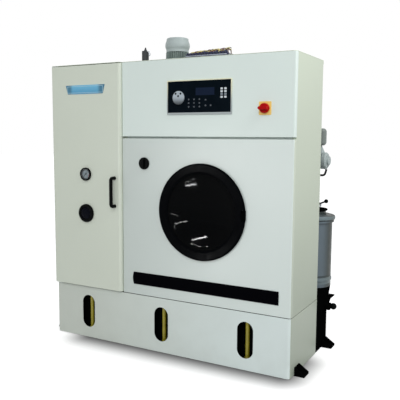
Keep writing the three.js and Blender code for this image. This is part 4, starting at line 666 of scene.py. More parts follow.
def make(name, surface, material, body=None, slot=None, *replaces):
    """A mesh object from one surface, welded, with its faces outwards, on its CAD body."""
    points, faces = surface
    mesh = bpy.data.meshes.new(name)
    mesh.from_pydata(points.tolist(), [], faces)
    weld = bmesh.new()
    weld.from_mesh(mesh)
    bmesh.ops.remove_doubles(weld, verts=weld.verts, dist=WELD)
    bmesh.ops.dissolve_degenerate(weld, dist=WELD / 2, edges=weld.edges)
    bmesh.ops.recalc_face_normals(weld, faces=weld.faces)
    weld.to_mesh(mesh)
    weld.free()
    shaded(mesh)
    mesh.materials.append(material)
    piece = bpy.data.objects.new(name, mesh)
    bpy.context.scene.collection.objects.link(piece)
    if body:
        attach(piece, body)
        if replaces:
            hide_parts(*replaces)
    return piece


def pierce(piece, *cutters):
    """The piece with other closed surfaces cut out of it."""
    for number, surface in enumerate(cutters):
        tool = make(f"cutter_{number}", surface, piece.data.materials[0])
        step = piece.modifiers.new("cut", "BOOLEAN")
        step.operation, step.solver, step.object = "DIFFERENCE", "EXACT", tool
        depsgraph = bpy.context.evaluated_depsgraph_get()
        result = bpy.data.meshes.new_from_object(piece.evaluated_get(depsgraph))
        piece.modifiers.clear()
        piece.data = result
        bpy.data.objects.remove(tool)
    shaded(piece.data)


def paint_node(name, material):
    """A CAD node keeps its shape and takes a better material."""
    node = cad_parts[name]
    node.data.materials.clear()
    node.data.materials.append(material)


# ---------------------------------------------------------------- cabinet
def cabinet_panels():
    ends = (0.006, 0.022)
    panel = folded_sheet(MAIN_LEFT, HALF_WIDTH, FRONT, FRONT + 0.025, SEAM_HIGH, PANEL_HIGH, *ends)
    lip = box((MAIN_LEFT + 0.0233, FRONT + 0.0253, SEAM_HIGH - 0.040),
              (HALF_WIDTH - 0.0283, FRONT + 0.0283, SEAM_HIGH + 0.003), 0.0008)
    make("upper_front", joined(panel, lip), IVORY_UPPER, "frame", "ivory", "upper_front_panel")

    panel = folded_sheet(MAIN_LEFT, HALF_WIDTH, FRONT, FRONT + 0.025, PANEL_LOW, SEAM_LOW, *ends)
    lower = make("lower_front", panel, IVORY, "frame", "ivory", "lower_front_panel")
    pierce(lower, rod("y", DOOR_CENTRE, OPENING_RADIUS, *THROUGH, segments=96))

    panel = folded_sheet(COLUMN_LEFT, COLUMN_RIGHT + 0.0018, FRONT - COLUMN_PROUD, FRONT + 0.021,
                         PANEL_LOW + 0.0037, PANEL_HIGH - 0.0033, 0.026, 0.026)
    make("column_front", panel, IVORY_COLUMN, "column_door", "ivory", "column_door")

    cover = folded_sheet(-HALF_WIDTH, HALF_WIDTH, FRONT, FRONT + DEPTH, 0.005, 0.349, 0.024, 0.024,
                         0.0035)
    cover = make("base_front", cover, IVORY_BASE, "frame", "ivory_shade", "base_cover")
    slots = [rectangle(k * SLOT_PITCH, SLOT_Z, SLOT_W, SLOT_H, SLOT_W / 2 - 1e-4, 10)
             for k in (-1, 0, 1)]
    notch = box((-0.9, FRONT + 0.073, -0.02), (0.9, FRONT + 0.154, 0.0503), 0.0005)
    pierce(cover, *[layered(slot, [0, 0], THROUGH) for slot in slots], notch)

    left, right = DOOR_X - STRIPE_HALF_W, DOOR_X + STRIPE_HALF_W
    bow = np.linspace(1, -1, 13)
    end = np.stack([left + 0.008 - 0.008 * (1 - bow**2), STRIPE_Z + STRIPE_HALF_H * bow], -1)
    outline = [*end, (right, STRIPE_Z - STRIPE_HALF_H), (right, STRIPE_Z + STRIPE_HALF_H)]
    stripe = plate(outline, FRONT - SEAT, FRONT - 0.0033, 0.0009)
    make("front_stripe", stripe, STRIPE_BLACK, "frame", "gloss_black", "accent_stripe")


def top_sheet():
    """Top panel: plan outline with the column standing proud, rounded over at its upper edge."""
    back, main, column = FRONT + DEPTH + 0.0033, FRONT, FRONT - COLUMN_PROUD
    plan = [(-HALF_WIDTH, column), (COLUMN_RIGHT, column), (COLUMN_RIGHT, main), (HALF_WIDTH, main),
            (HALF_WIDTH, back), (-HALF_WIDTH, back)]
    plan = rounded(plan, [0.024, 0.014, 0.0005, 0.022, 0.002, 0.002], 8, closed=True)
    sheet = plate(plan, HEIGHT - 0.003, HEIGHT, 0.0018, 4, PLAN, 1.05)
    hem = box((-HALF_WIDTH, back - 0.003, HEIGHT - 0.026), (HALF_WIDTH, back, HEIGHT - 0.002))
    make("top_sheet", joined(sheet, hem), IVORY_SIDE, "frame", "ivory", "top_panel")


def side_sheet():
    """Right-hand panel: a flat sheet with a rounded flange down its front and rear edge."""
    front, back = FRONT + 0.0253, FRONT + DEPTH
    outer, inner, lip = HALF_WIDTH, HALF_WIDTH - SHEET, HALF_WIDTH - SIDE_FLANGE
    section = [(lip, front), (outer, front), (outer, back), (lip, back), (lip, back - SHEET),
               (inner, back - SHEET), (inner, front + SHEET), (lip, front + SHEET)]
    reach = [0.0004, 0.003, 0.004, 0.0004, 0.0004, 0.001, 0.001, 0.0004]
    levels = [PANEL_LOW, PANEL_LOW + 0.001, PANEL_HIGH - 0.001, PANEL_HIGH]
    sheet = layered(rounded(section, reach, 4, closed=True), [0] * 4, levels, PLAN)
    make("side_sheet", sheet, IVORY_SIDE, "frame", "ivory", "side_panel")


# ---------------------------------------------------------------- column door fittings
def column_fittings():
    face = FRONT - COLUMN_PROUD
    outline = [(0.1575, 0.028), (-0.1575, 0.028), (-0.142, -0.028), (0.142, -0.028)]
    outline = rounded(outline, 0.003, 3, closed=True) + (COLUMN_X, PLATE_Z)
    printed = plate(outline, face - SEAT, face - 0.0023, 0.0007)
    make("blue_plate", printed, BLUE, "column_door", "blue", "front_plate")

    foot, reach = face - SEAT, face - HANDLE_REACH
    z0, z1 = HANDLE_Z - HANDLE_HALF, HANDLE_Z + HANDLE_HALF
    corners = [(HANDLE_X, y, z) for y, z in ((foot, z0), (reach, z0), (reach, z1), (foot, z1))]
    bar = tube(rounded(corners, 0.020, 10), HANDLE_BAR, (1, 0, 0), 20)
    make("column_handle_bar", bar, BLACK_PLASTIC, "column_door", "black_plastic", "column_handle")

    at = (COLUMN_X, face, GAUGE_Z)
    case = [(0, 0.030), (0.0355, 0.030), (0.0355, -SEAT), (0.042, -SEAT), (0.042, -0.013),
            (0.0395, -0.016), (0.037, -0.016), (0.0352, -0.013), (0.0352, -0.004), (0, -0.004)]
    case = turned(case, "y", at, 0.0012, 64)
    make("gauge_housing", case, BLACK_PLASTIC, "column_door", "black_plastic", "gauge_case")
    dial = [(0, -0.0043), (0.0347, -0.0043), (0.0347, -0.0057), (0.002, -0.0057), (0.002, -0.0088),
            (0, -0.0088)]
    dial = turned(dial, "y", at, 0.0002, 64)
    make("gauge_face", dial, SCALE, "column_door", "dial", "gauge_dial")
    lens = [(0, -0.011), (0.0347, -0.011), (0.0347, -0.0128), (0.02, -0.0136), (0, -0.0138)]
    lens = turned(lens, "y", at, 0.0005, 64)
    make("gauge_cover", lens, CLEAR, "column_door", "clear_glass", "gauge_lens")
    (_, low, _), (_, high, _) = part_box("gauge_needle")
    turn = math.radians(POINTER_TURN)
    c, s = math.cos(turn), math.sin(turn)
    parts = []
    for tip, half in ((0.028, 0.0005), (-0.010, 0.0022)):
        x, z = np.transpose([(0.0, 0.0022), (tip, half), (tip, -half), (0.0, -0.0022)])
        outline = np.stack([COLUMN_X + x * c - z * s, GAUGE_Z + x * s + z * c], -1)
        parts.append(plate(outline, low + 0.0014, low + 0.0004, 0.0001))
    parts.append(rod("y", (COLUMN_X, 0, GAUGE_Z), 0.005, low, high, 0.0004, 32))
    make("gauge_pointer", joined(*parts), BLACK_PLASTIC, "gauge_needle", "black_plastic",
         "gauge_needle")

    at = (COLUMN_X, face, PORT_Z)
    ring = [(0.036, 0.028), (0.0455, 0.028), (0.0455, -SEAT), (0.059, -SEAT), (0.059, -0.011),
            (0.054, -0.018), (0.045, -0.018), (0.0402, -0.013), (0.0402, -0.006), (0.036, -0.006)]
    ring = turned(ring, "y", at, 0.002)
    make("port_ring", ring, BLACK_PLASTIC, "column_door", "black_plastic", "sight_port_ring")
    bull = [(0, -0.0063), (0.0397, -0.0063), (0.0397, -0.0113), (0.024, -0.0153), (0, -0.0163)]
    bull = turned(bull, "y", at, 0.004, 48)
    make("port_bullseye", bull, PORT_DARK, "column_door", "smoked_glass", "sight_port_glass")


# ---------------------------------------------------------------- controls



def control_panel():
    surround = pad(CONTROL_X, CONTROL_Z, CONTROL_W, CONTROL_H, 0.003, SEAT, 0.008, 0.0016)
    surround = make("control_surround", surround, TRIM, "frame", "steel", "control_bezel")
    hole_w, hole_h = CONTROL_W - 2 * CONTROL_SIDE, CONTROL_H - CONTROL_TOP - CONTROL_BOTTOM
    hole_z = CONTROL_Z + (CONTROL_BOTTOM - CONTROL_TOP) / 2
    hole = rectangle(CONTROL_X, hole_z, hole_w, hole_h, 0.001, 10)
    pierce(surround, layered(hole, [0, 0], [FRONT - 0.02, FRONT + 0.01]))
    face = pad(CONTROL_X, hole_z, hole_w - 2 * SEAT, hole_h - 2 * SEAT, 0.001, SEAT, 0.0043, 0.0003)
    make("control_glass", face, CONTROL_GLASS, "frame", "navy", "control_face")

    low, high = 0.003, 0.0055
    x, z, pitch_x, pitch_z = CONTROL_X + 0.148, CONTROL_Z + 0.043, 0.024, 0.0155
    keys = [pad(x + pitch_x * column, z - pitch_z * row, 0.015, 0.0115, 0.003, low, high, 0.0008)
            for row in range(4) for column in range(2)]
    pitch_x, pitch_z = 0.0355, 0.021
    places = [(pitch_x * column - 0.065, -0.013 - pitch_z * row) for row in range(3)
              for column in range(3)]
    marks = []
    for count, (x, z) in enumerate([*places, (0.046, -0.017), (0.046, -0.049), (0.079, -0.049)]):
        x, z = CONTROL_X + x, CONTROL_Z + z
        keys.append(pad(x, z, 0.011, 0.011, 0.002, low, high, 0.0006))
        bar = pad(x, z, 0.0105, 0.0026, 0.0005, 0.0054, 0.0058, 0.0001, 2)
        for turn in (35, -35) if count % 2 else (0, 90):
            marks.append(moved(bar, (0, turn, 0), (x, 0, z)))
    make("control_keys", joined(*keys), KEYS, "frame", "key", "keypad")
    make("key_marks", joined(*marks), MARKS, "frame", "key")

    r = DIAL_RADIUS
    dial = [(0, -0.0046), (r, -0.0046), (r, -0.0091), (r - 0.002, -0.0106), (0, -0.0106)]
    dial = turned(dial, "y", (DIAL_X, FRONT, DIAL_Z), 0.0008)
    dial = make("selector", dial, DIAL, "selector_dial", "steel", "selector_dial")
    spots = [(DIAL_X + x, FRONT, DIAL_Z + z)
             for x, z in ((-0.018, 0.024), (0.015, 0.024), (-0.001, 0.0095))]
    pierce(dial, *[rod("y", spot, 0.0065, -0.0126, -0.0071) for spot in spots])
    plug = [(0, -0.0071), (0.0063, -0.0071), (0.0063, -0.0084), (0, -0.0086)]
    plugs = [turned(plug, "y", spot, 0.0003, 24) for spot in spots]
    make("selector_plugs", joined(*plugs), BLACK_PLASTIC, "selector_dial", "black_plastic")

    base = pad(SWITCH_X, SWITCH_Z, SWITCH_PLATE, SWITCH_PLATE, 0.005, SEAT, 0.0028, 0.0008)
    make("switch_base", base, YELLOW, "frame", "yellow", "switch_plate")
    back = FRONT - 0.0031
    base = [(0, 0), (0.027, 0), (0.027, -0.018), (0.024, -0.021), (0, -0.021)]
    base = turned(base, "y", (SWITCH_X, back, SWITCH_Z), 0.0016, 56)
    grip = [(-0.029, 0), (-0.021, -0.009), (0.025, -0.009), (0.025, 0.009), (-0.021, 0.009)]
    grip = rounded(grip, 0.003, 3, closed=True) + (SWITCH_X, SWITCH_Z)
    grip = plate(grip, back - 0.004, FRONT - 0.045, 0.002)
    make("switch_grip", joined(base, grip), RED, "switch_knob", "red", "switch_knob")


# ---------------------------------------------------------------- loading door
def loading_door():
    r, rebate, lip = 0.010, 0.232, 0.224
    back, front = FRONT - 0.0005, FRONT - 0.0205
    profile = [(rebate, back), *arc(r, 90, -90, (DOOR_RADIUS - r, (back + front) / 2), 10),
               (lip + 0.014, front), (lip, front + 0.006), (lip, back - 0.012),
               (rebate, back - 0.012)]
    ring = turned(profile, "y", DOOR_CENTRE, 0.0009, 120, 2)
    x = DOOR_X - DOOR_RADIUS + 0.035
    striker = box((x - 0.005, back - 0.002, DOOR_Z - 0.012),
                  (x + 0.005, back + 0.016, DOOR_Z + 0.012))
    door = make("door_rim", joined(ring, striker), DOOR_BLACK, "loading_door", "black_plastic",
                "door_ring")
    pierce(door, box((DOOR_AXIS_X - 0.015, front - 0.01, DOOR_Z - 0.030),
                     (DOOR_X + 0.3, back + 0.01, DOOR_Z + 0.030), 0.0004))

    rim, thick, flat, edge = FRONT - 0.0122, 0.008, 0.2157, 0.2317
    s = np.linspace(0, 1, 12)
    dish = 0.027 * (1 - s**2)
    inner, outer = (np.stack([flat * s, start + dish], -1) for start in (rim, rim + thick))
    profile = [*inner, (edge, rim), (edge, rim + thick), *outer[::-1]]
    glass = turned(profile, "y", DOOR_CENTRE, [0] * 12 + [0.001, 0.001] + [0] * 12, 96, 2)
    make("door_glazing", glass, GLASS_DARK, "loading_door", "smoked_glass", "door_glass")

    inner, outer, y0, y1 = 0.227, 0.243, FRONT - 0.0002, FRONT + 0.0097
    seal = [(inner, y1), (outer, y1), (outer - 0.003, y0), (inner + 0.003, y0)]
    make("door_gasket", turned(seal, "y", DOOR_CENTRE, 0.002, 96), RUBBER, "frame", "rubber",
         "door_seal")

    half = 0.0297
    knuckle = box((DOOR_AXIS_X - 0.010, DOOR_AXIS_Y - 0.008, DOOR_Z - half),
                  (DOOR_AXIS_X + 0.010, FRONT - SEAT, DOOR_Z + half), 0.005, 4)
    pin = rod("z", (DOOR_AXIS_X, DOOR_AXIS_Y, 0), 0.003, DOOR_Z - 0.0427, DOOR_Z + 0.0427, 0.0004)
    hinge = joined(knuckle, pin)
    make("door_hinge_block", hinge, BLACK_PAINT, "frame", "black_paint", "door_hinge")

    base = [(0, 0.022), (0.011, 0.022), (0.011, -SEAT), (0.037, -SEAT), (0.037, -0.008),
            (0.031, -0.014), (0, -0.014)]
    base = turned(base, "y", (LOCK_X, FRONT, LOCK_Z), 0.002, 56)
    grip = pad(LOCK_X, LOCK_Z, 0.018, 0.058, 0.008, 0.010, 0.028, 0.003)
    cam = box((LOCK_X - 0.010, FRONT + 0.012, LOCK_Z - 0.046),
              (LOCK_X + 0.010, FRONT + 0.018, LOCK_Z + 0.008))
    make("lock_handle", joined(base, grip, cam), BLACK_PLASTIC, "lock_knob", "black_plastic",
         "lock_knob")


# ---------------------------------------------------------------- base and rear
def base_fittings():
    y = FRONT + 0.038
    for k, side in ((-1, "left"), (0, "centre"), (1, "right")):
        low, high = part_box(f"sight_tube_{side}")
        x = k * SLOT_PITCH
        parts = [rod("z", (x, y, 0), 0.0125, low[2], high[2], 0.001, 32)]
        for z in (low[2] + 0.017, high[2] - 0.017):
            parts.append(rod("z", (x, y, z), 0.017, -0.012, 0.012, 0.0015, 6))
            parts.append(rod("y", (x, 0, z), 0.0105, y, high[1], 0.0008))
        make(f"sight_glass_{side}", joined(*parts), BRASS, "frame", "brass", f"sight_tube_{side}")

    at = (DRAIN_X, DRAIN_Y, DRAIN_Z)
    body = [(0.0084, 0), (0.019, 0), (0.019, 0.014), (0.021, 0.018), (0.021, 0.040),
            (0.0084, 0.040)]
    outlet = [(0.0086, -0.027), (0.012, -0.027), (0.012, -0.012), (0.0086, -0.012)]
    outlet = turned(outlet, "z", (DRAIN_X + 0.026, DRAIN_Y, DRAIN_Z), 0.0006, 24)
    make("drain_cock", joined(turned(body, "x", at, 0.0012, 40), outlet), BLACK_PAINT, "frame",
         "black_paint", "drain_valve")
    cap = arc(0.021, -58, 90, (0, 0.058), 14)
    cap[-1, 0] = 0
    knob = turned([(0, 0.008), (0.0078, 0.008), (0.0078, 0.040), *cap], "x", at, 0.0004, 40)
    make("drain_knob", knob, BLACK_PLASTIC, "drain_valve_knob", "black_plastic", "drain_valve_knob")


def filter_unit():
    x, y, r = FILTER_X, FILTER_Y, 0.126
    can, lid, top = 0.350, 0.800 + SEAT, 0.858 + SEAT
    body = [(0, 0), (r, 0), (r, 0.039), (r + 0.005, 0.042), (r + 0.005, 0.055), (r, 0.058),
            (r, 0.433), (r + 0.012, 0.435), (r + 0.012, 0.450), (0, 0.450)]
    make("filter_can", turned(body, "z", (x, y, can), 0.0015, 96), FILTER_SLATE, "frame", "slate",
         "filter_body")
    body = [(0, 0), (0.141, 0), (0.145, 0.006), (0.145, 0.022), (0.137, 0.029), (0.086, 0.042),
            (0.082, 0.046), (0.082, 0.0577), (0.010, 0.0577), (0.010, 0.0837), (0, 0.0837)]
    make("filter_cap", turned(body, "z", (x, y, lid), 0.004, 96), FILTER_SLATE, "frame", "slate",
         "filter_lid")
    hub = [(0.0103, 0), (0.022, 0), (0.022, 0.018), (0.0103, 0.018)]
    wheel = [turned(arc(0.0065, 0, 360, (0.087, 0.006), 20)[:-1], "z", (x, y, top), 0.0),
             turned(hub, "z", (x, y, top), 0.0015, 40)]
    spoke = box((x + 0.020, y - 0.006, top + 0.002), (x + 0.084, y + 0.006, top + 0.010), 0.003, 3)
    wheel += copies(spoke, 4, "z", (x, y, 0), 20)
    make("filter_wheel", joined(*wheel), BLACK_PAINT, "filter_handwheel", "black_paint",
         "filter_handwheel")


def rear_units():
    y, r, left = REAR_Y, PUMP_RADIUS, 0.746
    body = [(0, 0), (r - 0.008, 0), (r, 0.008), (r, 0.030), (r - 0.006, 0.033), (r - 0.006, 0.047),
            (r, 0.050), (r, 0.071), (r - 0.008, 0.079), (0.029, 0.079), (0.029, 0.0914),
            (0, 0.0914)]
    body = turned(body, "x", (left, y, PUMP_Z), 0.0018, 64)
    foot = box((FRAME_FACE, y - 0.018, PUMP_Z - 0.034), (left + 0.006, y + 0.018, PUMP_Z + 0.034),
               0.002)
    rib = box((left + 0.034, y - 0.0012, PUMP_Z + r - 0.010),
              (left + 0.046, y + 0.0012, PUMP_Z + r - 0.001), 0.0005)
    ribs = copies(rib, 12, "x", (0, y, PUMP_Z))
    cone = [(0, -0.012), (0.024, -0.012), (0.024, -0.002), (0.006, 0.038), (0, 0.038)]
    cone = turned(cone, "z", (PUMP_X, y, PUMP_Z + r), 0.002, 40)
    make("pump_body", joined(body, foot, cone, *ribs), MOTOR_GREY, "frame", "motor_grey",
         "pump_motor")

    top, x, z = PUMP_Z - r - SEAT, 0.817, 1.105
    corners = [(x, y, top), (x, y, top - 0.006), (x - 0.010, y, z), (FRAME_FACE, y, z)]
    hose = tube(rounded(corners, [0, 0.003, 0.026, 0], 10), 0.007, (0, 1, 0), 20)
    make("pump_hose", hose, RUBBER, "frame", "rubber", "pump_pipe")

    low = 1.295
    body = [(0, 0), (0.019, 0), (0.031, 0.014), (0.031, 0.094), (0.019, 0.108), (0, 0.108)]
    parts = [turned(body, "z", (PUMP_X, y, low), 0.007, 48, 5),
             box((FRAME_FACE, y - 0.012, low + 0.045), (PUMP_X, y + 0.012, low + 0.069), 0.002),
             rod("z", (PUMP_X, y, 0), 0.005, PUMP_Z + r + 0.0383, low + 0.004, 0.0005, 20)]
    make("receiver", joined(*parts), CAST, "frame", "cast_iron", "air_receiver")

    x, z, reach, rise = VALVE_X, VALVE_Z, 0.074, 23
    parts = [rod("x", (0, y, z), 0.012, FRAME_FACE, x + 0.026, 0.0012, 32),
             ball("x", (0, y, z), 0.022, x), rod("y", (x, y, z), 0.006, -0.044, 0, 0.0008)]
    make("ball_valve_body", joined(*parts), STEEL, "frame", "steel", "lever_valve")
    y -= 0.032
    arm = box((x - 0.009, y - 0.010, z - 0.005), (x + reach, y - 0.004, z + 0.005), 0.002, 3)
    arm = moved(arm, (0, -rise, 0), (x, y, z))
    hub = rod("y", (x, y, z), 0.011, -0.011, -0.001, 0.001, 32)
    c, s = math.cos(math.radians(rise)), math.sin(math.radians(rise))
    knob = ball("z", (x + reach * c, y - 0.007, z + reach * s), 0.013, 0)
    make("valve_lever_arm", joined(arm, hub, knob), BLACK_PLASTIC, "valve_lever", "black_plastic",
         "valve_lever")


# ---------------------------------------------------------------- top
def air_run(number, height):
    """Thin air tube lying along the arcs: a straight run in x whose y and z are sums of two
    sine waves, the waves growing and the tube climbing slowly towards the right."""
    t = np.linspace(0.04 + 0.04 * number, 1.0 - 0.02 * (number % 3), 150)
    x = BANK_X + BANK_LENGTH * t
    phase = 2.1 * number
    y = BANK_Y + 0.018 + 0.008 * number
    y = y + 0.007 * np.sin(17 * t + phase) + 0.003 * np.sin(41 * t + phase)
    wave = (0.001 + 0.005 * t) * (1 + np.sin((21 + 3 * number) * t + phase))
    z = height + 0.0015 * number + wave + 0.003 * t
    return tube(np.stack([x, y, z], -1), 0.0026, (0, 0, 1), 10)


def fan():
    base = HEIGHT + SEAT
    at, (x, y) = (FAN_X, FAN_Y, base), (FAN_X, FAN_Y)
    body = [(0, 0), (0.080, 0), (0.080, 0.008), (0.058, 0.008), (0.058, 0.050), (0.064, 0.050),
            (0.064, 0.072), (0, 0.072)]
    fin = box((x + 0.056, y - 0.0014, base + 0.010), (x + 0.0695, y + 0.0014, base + 0.049),
              0.0006, 1)
    parts = [turned(body, "z", at, 0.001, 64), *copies(fin, 36, "z", at),
             rod("z", at, 0.014, -0.060, 0.002, 0.001, 32)]
    make("fan_stator", joined(*parts), FIN_GREY, "frame", "motor_grey", "fan_motor")
    r, low, top = 0.0742, 0.050 + SEAT, 0.133
    cowl = [(0, top), (r - 0.010, top), (r - 0.007, top - 0.016), (r, top - 0.036),
            (r, top - 0.052), (0.0675, low + 0.014), (0.0675, low), (0.0645, low),
            (0.0645, low + 0.016), (r - 0.003, top - 0.052), (r - 0.003, top - 0.037),
            (r - 0.011, top - 0.012), (0, top - 0.003)]
    reach = [0, 0.006, 0.004, 0.008, 0.006, 0.003] + [0.0006] * 6 + [0]
    cowl = make("fan_hood", turned(cowl, "z", at, reach, 96, 5), MOTOR_GREY, "frame", "motor_grey",
                "fan_cowl")
    slot = box((x + 0.014, y - 0.0016, base + top - 0.02),
               (x + 0.056, y + 0.0016, base + top + 0.01), 0.0006, 1)
    pierce(cowl, joined(*copies(slot, 24, "z", at)))


def top_units():
    base = HEIGHT + SEAT
    foot = base + 0.022 + SEAT
    end = BANK_X + BANK_LENGTH
    valves = [box((BANK_X, BANK_Y - 0.023, base), (end, BANK_Y + 0.023, base + 0.012), 0.0015)]
    arcs = [box((BANK_X, BANK_Y + 0.038, base), (end, BANK_Y + 0.066, base + 0.020), 0.003)]
    for k in range(BANK_COUNT):
        x, near, far = BANK_X + (k + 0.5) * BANK_PITCH, BANK_Y + 0.012, BANK_Y + 0.052
        valves.append(box((x - 0.0077, BANK_Y - 0.017, base + 0.0115),
                          (x + 0.0077, BANK_Y + 0.017, base + 0.022), 0.0015))
        valves.append(box((x - 0.0057, BANK_Y - 0.015, base + 0.021),
                          (x + 0.0057, BANK_Y + 0.004, base + 0.030), 0.002))
        crown = foot + 0.009 + (k % 3) * 0.003 + 0.0005 * k
        corners = [(x, near, foot), (x, near, crown), (x, far, crown), (x, far, base + 0.018)]
        arcs.append(tube(rounded(corners, 0.012, 8), 0.0032, (1, 0, 0), 12))
        arcs.append(rod("z", (x, near, foot), 0.0048, 0, 0.006, 0.0006, 16))
    make("valve_rail", joined(*valves), NAVY, "frame", "navy", "valve_bank")
    make("air_tube_arcs", joined(*arcs), TUBES, "frame", "tube_plastic", "air_tubes")
    paints = (TUBE_YELLOW, TUBE_BROWN, TUBE_PLUM, TUBE_YELLOW, TUBE_DARK)
    for number, paint in enumerate(paints):
        make(f"air_tube_{number}", air_run(number, foot + 0.013), paint, "frame", "tube_plastic")
    strip = box((BANK_X + 0.002, BANK_Y - 0.0236, base + 0.0095),
                (end - 0.002, BANK_Y - 0.0226, base + 0.0125), 0.0004)
    make("rail_strip", strip, PALE_STRIP, "frame", "navy")

    x, y, top = -0.150, FRONT + 0.062, base + 0.065
    block = box((x - 0.017, y - 0.016, base), (x + 0.015, y + 0.016, top), 0.003, 3)
    plug = [(0, -0.002), (0.009, -0.002), (0.009, 0.0067), (0.005, 0.010), (0.004, 0.020),
            (0, 0.020)]
    plug = turned(plug, "z", (x, y, top), 0.0012, 32)
    make("inlet_block", joined(block, plug), VALVE_DARK, "frame", "black_plastic", "inlet_valve")
    corners = [(x + dx, y, top - dz) for dx, dz in ((0.008, 0.007), (0.027, 0.007), (0.029, 0.031))]
    spout = tube(rounded(corners, 0.014, 8), 0.006, (0, 1, 0), 20)
    make("inlet_spout", spout, STEEL_ROUND, "frame", "steel")


# ---------------------------------------------------------------- drum and drive
def groove(pitch):
    """Profile (r, h) across a pulley's rim, with the belt's groove in its middle."""
    top, floor, w = pitch + 0.005, pitch - 0.0063, PULLEY_HALF
    return [(top, -w), (top, -0.0103), (floor, -0.0093), (floor, 0.0093), (top, 0.0103), (top, w)]


def wash_tub():
    shell = [(0.228, 0.010), (0.234, 0.010), (0.234, 0.056), (0.430, 0.056), (0.430, 0.460),
             (0.442, 0.460), (0.442, 0.468), (0.045, 0.468), (0.045, 0.462), (0.426, 0.462),
             (0.426, 0.060), (0.228, 0.060)]
    parts = [turned(shell, "y", (DOOR_X, FRONT, DOOR_Z), 0.001, 120)]
    for x in (DOOR_X - 0.230, DOOR_X + 0.230):
        for half, y0, y1, top in ((0.005, 0.130, 0.390, 0.545), (0.035, 0.130, 0.390, 0.361),
                                  (0.035, 0.250, 0.260, 0.555)):
            parts.append(box((x - half, FRONT + y0, PANEL_LOW), (x + half, FRONT + y1, top)))
    make("tub_shell", joined(*parts), STEEL_ROUND, "frame", "steel", "tub")


def drive():
    w = PULLEY_HALF
    wheel = [(0.0283, -w), (0.054, -w), (0.054, -0.007), (0.185, -0.007), (0.185, -w),
             *groove(DRUM_PITCH), (0.185, w), (0.185, 0.007), (0.0283, 0.007)]
    wheel = turned(np.array(wheel) + (0, BELT_Y), "y", DOOR_CENTRE, 0.001, 96)
    pulley = make("drum_wheel", wheel, CAST, "drum", "cast_iron", "drum_pulley")
    hole = rod("y", (DOOR_X + 0.1195, 0, DOOR_Z), 0.037, BELT_Y - 0.02, BELT_Y + 0.02, segments=40)
    pierce(pulley, joined(*copies(hole, 6, "y", DOOR_CENTRE)))
    small = [(0, -0.054), (0.014, -0.054), (0.014, -w - 0.004), (0.026, -w - 0.004), (0.026, -w),
             *groove(DRIVE_PITCH), (0.020, w), (0.020, w + 0.004), (0, w + 0.004)]
    small = turned(np.array(small) + (0, BELT_Y), "y", (DRIVE_X, 0, DRIVE_Z), 0.001, 56)
    make("motor_wheel", small, CAST, "motor_pulley", "cast_iron", "motor_pulley")

    # the belt's pitch line: round both pulleys, with straight runs between
    gap = DRIVE_X - DOOR_X, DRIVE_Z - DOOR_Z
    line = math.degrees(math.atan2(gap[1], gap[0]))
    span = math.degrees(math.acos((DRUM_PITCH - DRIVE_PITCH) / math.hypot(*gap)))
    pitch = np.concatenate([arc(DRUM_PITCH, line + span, line - span + 360, (DOOR_X, DOOR_Z), 59),
                            arc(DRIVE_PITCH, line - span, line + span, (DRIVE_X, DRIVE_Z), 23)])
    section = [(-0.0055, -0.009), (-0.0055, 0.009), (0.0055, 0.0085), (0.0055, -0.0085)]
    section = rounded(section, 0.0012, 3, closed=True)
    points, _ = layered(pitch, section[:, 0], BELT_Y + section[:, 1])
    make("belt_loop", (points, grid_quads(len(section), len(pitch), True, True)), RUBBER, "frame",
         "rubber", "drive_belt")


# ---------------------------------------------------------------- stage
def area_lamp(name, place, aim, wide, high, power):
    """A soft rectangular lamp at a place, turned to an aim, that isn't seen itself."""
    lamp = bpy.data.lights.new(name, "AREA")
    lamp.shape = "RECTANGLE"
    lamp.size, lamp.size_y, lamp.energy = wide, high, power
    holder = bpy.data.objects.new(name, lamp)
    bpy.context.scene.collection.objects.link(holder)
    holder.location = place
    holder.rotation_mode = "QUATERNION"
    holder.rotation_quaternion = (Vector(aim) - Vector(place)).to_track_quat("-Z", "Y")
    holder.visible_camera = False
    return holder


def floor():
    """Pale floor: it shows itself white to the camera, darker under and close to the machine by a
    painted shadow, and takes real shadows where it is darker."""
    p = Paint("floor_white")
    seen = p.seen()
    x, y, _ = p.parts()
    # painted shadow: the floor darkens with its distance to a patch under the machine's front
    beside = p.maths("MAXIMUM", p.maths("ABSOLUTE", x - SHADE_X) - SHADE_HALF_X, 0.0)
    before = p.maths("MAXIMUM", p.maths("ABSOLUTE", y - SHADE_Y) - SHADE_HALF_Y, 0.0)
    gap = p.maths("SQRT", beside * beside + before * before)
    shade = p.ramp(gap, 0.0, 0.25, 0.12, 1.0)
    own = p.ramp(p.maths("SQRT", x * x + y * y), 0.6, 1.6, FLOOR_NEAR, FLOOR_FAR)
    glow = p.add("ShaderNodeEmission", {}, Strength=seen * shade * own)
    dark = seen * (1 - shade)
    tone = p.blend(srgb(198, 198, 198), (0, 0, 0, 1), dark)
    matt = p.add("ShaderNodeBsdfDiffuse", {}, Color=tone)
    both = p.add("ShaderNodeAddShader", {}, glow, matt)
    p.join(both, p.tree.nodes["Material Output"].inputs["Surface"])
    corners = [(x * FLOOR_HALF, y * FLOOR_HALF, 0) for x, y in ((-1, -1), (1, -1), (1, 1), (-1, 1))]
    make("floor", (np.array(corners), [[0, 1, 2, 3]]), p.material)


def surroundings():
    """White to every ray that is seen, and a dimmer, slightly cool light to all others."""
    world = bpy.data.worlds.new("surroundings")
    bpy.context.scene.world = world
    world.use_nodes = True
    graph = Graph(world.node_tree)
    dim = graph.tree.nodes["Background"]
    dim.inputs["Color"].default_value = (0.97, 0.99, 1.0, 1)
    dim.inputs["Strength"].default_value = 0.5
    white = graph.add("ShaderNodeBackground", {}, Color=(1, 1, 1, 1))
    pick = graph.add("ShaderNodeMixShader", {}, graph.seen(), Wire(graph, dim.outputs[0]), white)
    graph.join(pick, graph.tree.nodes["World Output"].inputs["Surface"])


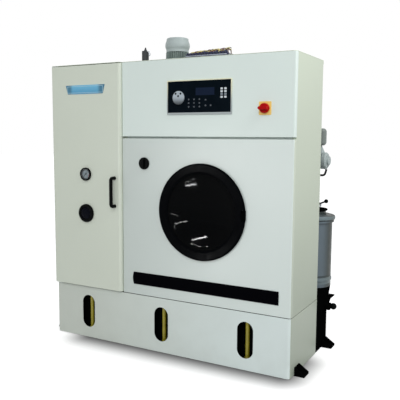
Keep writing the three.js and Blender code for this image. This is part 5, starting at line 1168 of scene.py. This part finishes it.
def lamps():
    """A soft key and a side lamp, and the strips that glint in the door glass."""
    key_lamp = area_lamp("key", (1.5, -5.5, 4.2), (0, 0, 0.9), 3.5, 3.5, 150.0)
    key_lamp.visible_glossy = False
    area_lamp("side", (2.5, -0.45, 3.0), (HALF_WIDTH, 0, 1.2), 1.2, 1.2, 36.0)
    aim = Vector((DOOR_X, FRONT, DOOR_Z))
    for number, (start, end, thick, power) in enumerate(GLINTS):
        start, end = Vector(start), Vector(end)
        along = end - start
        lamp = area_lamp(f"glint_{number}", (start + end) / 2, aim, along.length, thick, power)
        ahead = (aim - lamp.location).normalized()
        across = (along - ahead * along.dot(ahead)).normalized()
        turn = Matrix((across, -ahead.cross(across), -ahead)).transposed()
        lamp.rotation_quaternion = turn.to_quaternion()
        lamp.visible_diffuse = False


def camera():
    """The photograph's viewpoint: place, heading and lens from the cabinet's own edges."""
    lens = bpy.data.cameras.new("camera")
    lens.sensor_width, lens.lens = SENSOR, FOCAL_PIXELS / IMAGE_SIDE * SENSOR
    eye = bpy.data.objects.new("camera", lens)
    bpy.context.scene.collection.objects.link(eye)
    turn, dip = math.radians(CAMERA_TURN), math.radians(CAMERA_DIP)
    ahead = Euler((-dip, 0, turn)).to_matrix() @ Vector((0, 1, 0))
    eye.location = CAMERA_PLACE
    eye.rotation_mode = "QUATERNION"
    roll = Euler((0, 0, math.radians(CAMERA_ROLL))).to_quaternion()
    eye.rotation_quaternion = ahead.to_track_quat("-Z", "Y") @ roll
    bpy.context.scene.camera = eye


camera()
cabinet_panels()
top_sheet()
side_sheet()
column_fittings()
control_panel()
loading_door()
base_fittings()
filter_unit()
rear_units()
fan()
top_units()
wash_tub()
drive()
for coat, nodes in ((DARK_STEEL, "drum"), (CAST, "bearing_housing"), (MOTOR_GREY, "drive_motor"),
                    (BLACK_PAINT, "base_tank rear_frame filter_bracket cleanout_cover"),
                    (IVORY_SIDE, "column_cabinet"),
                    (STEEL, "fan_scroll still_vessel column_hinge_lower column_hinge_upper")):
    for node_name in nodes.split():
        paint_node(node_name, coat)
floor()
surroundings()
lamps()
bpy.context.scene.view_settings.view_transform = "Standard"
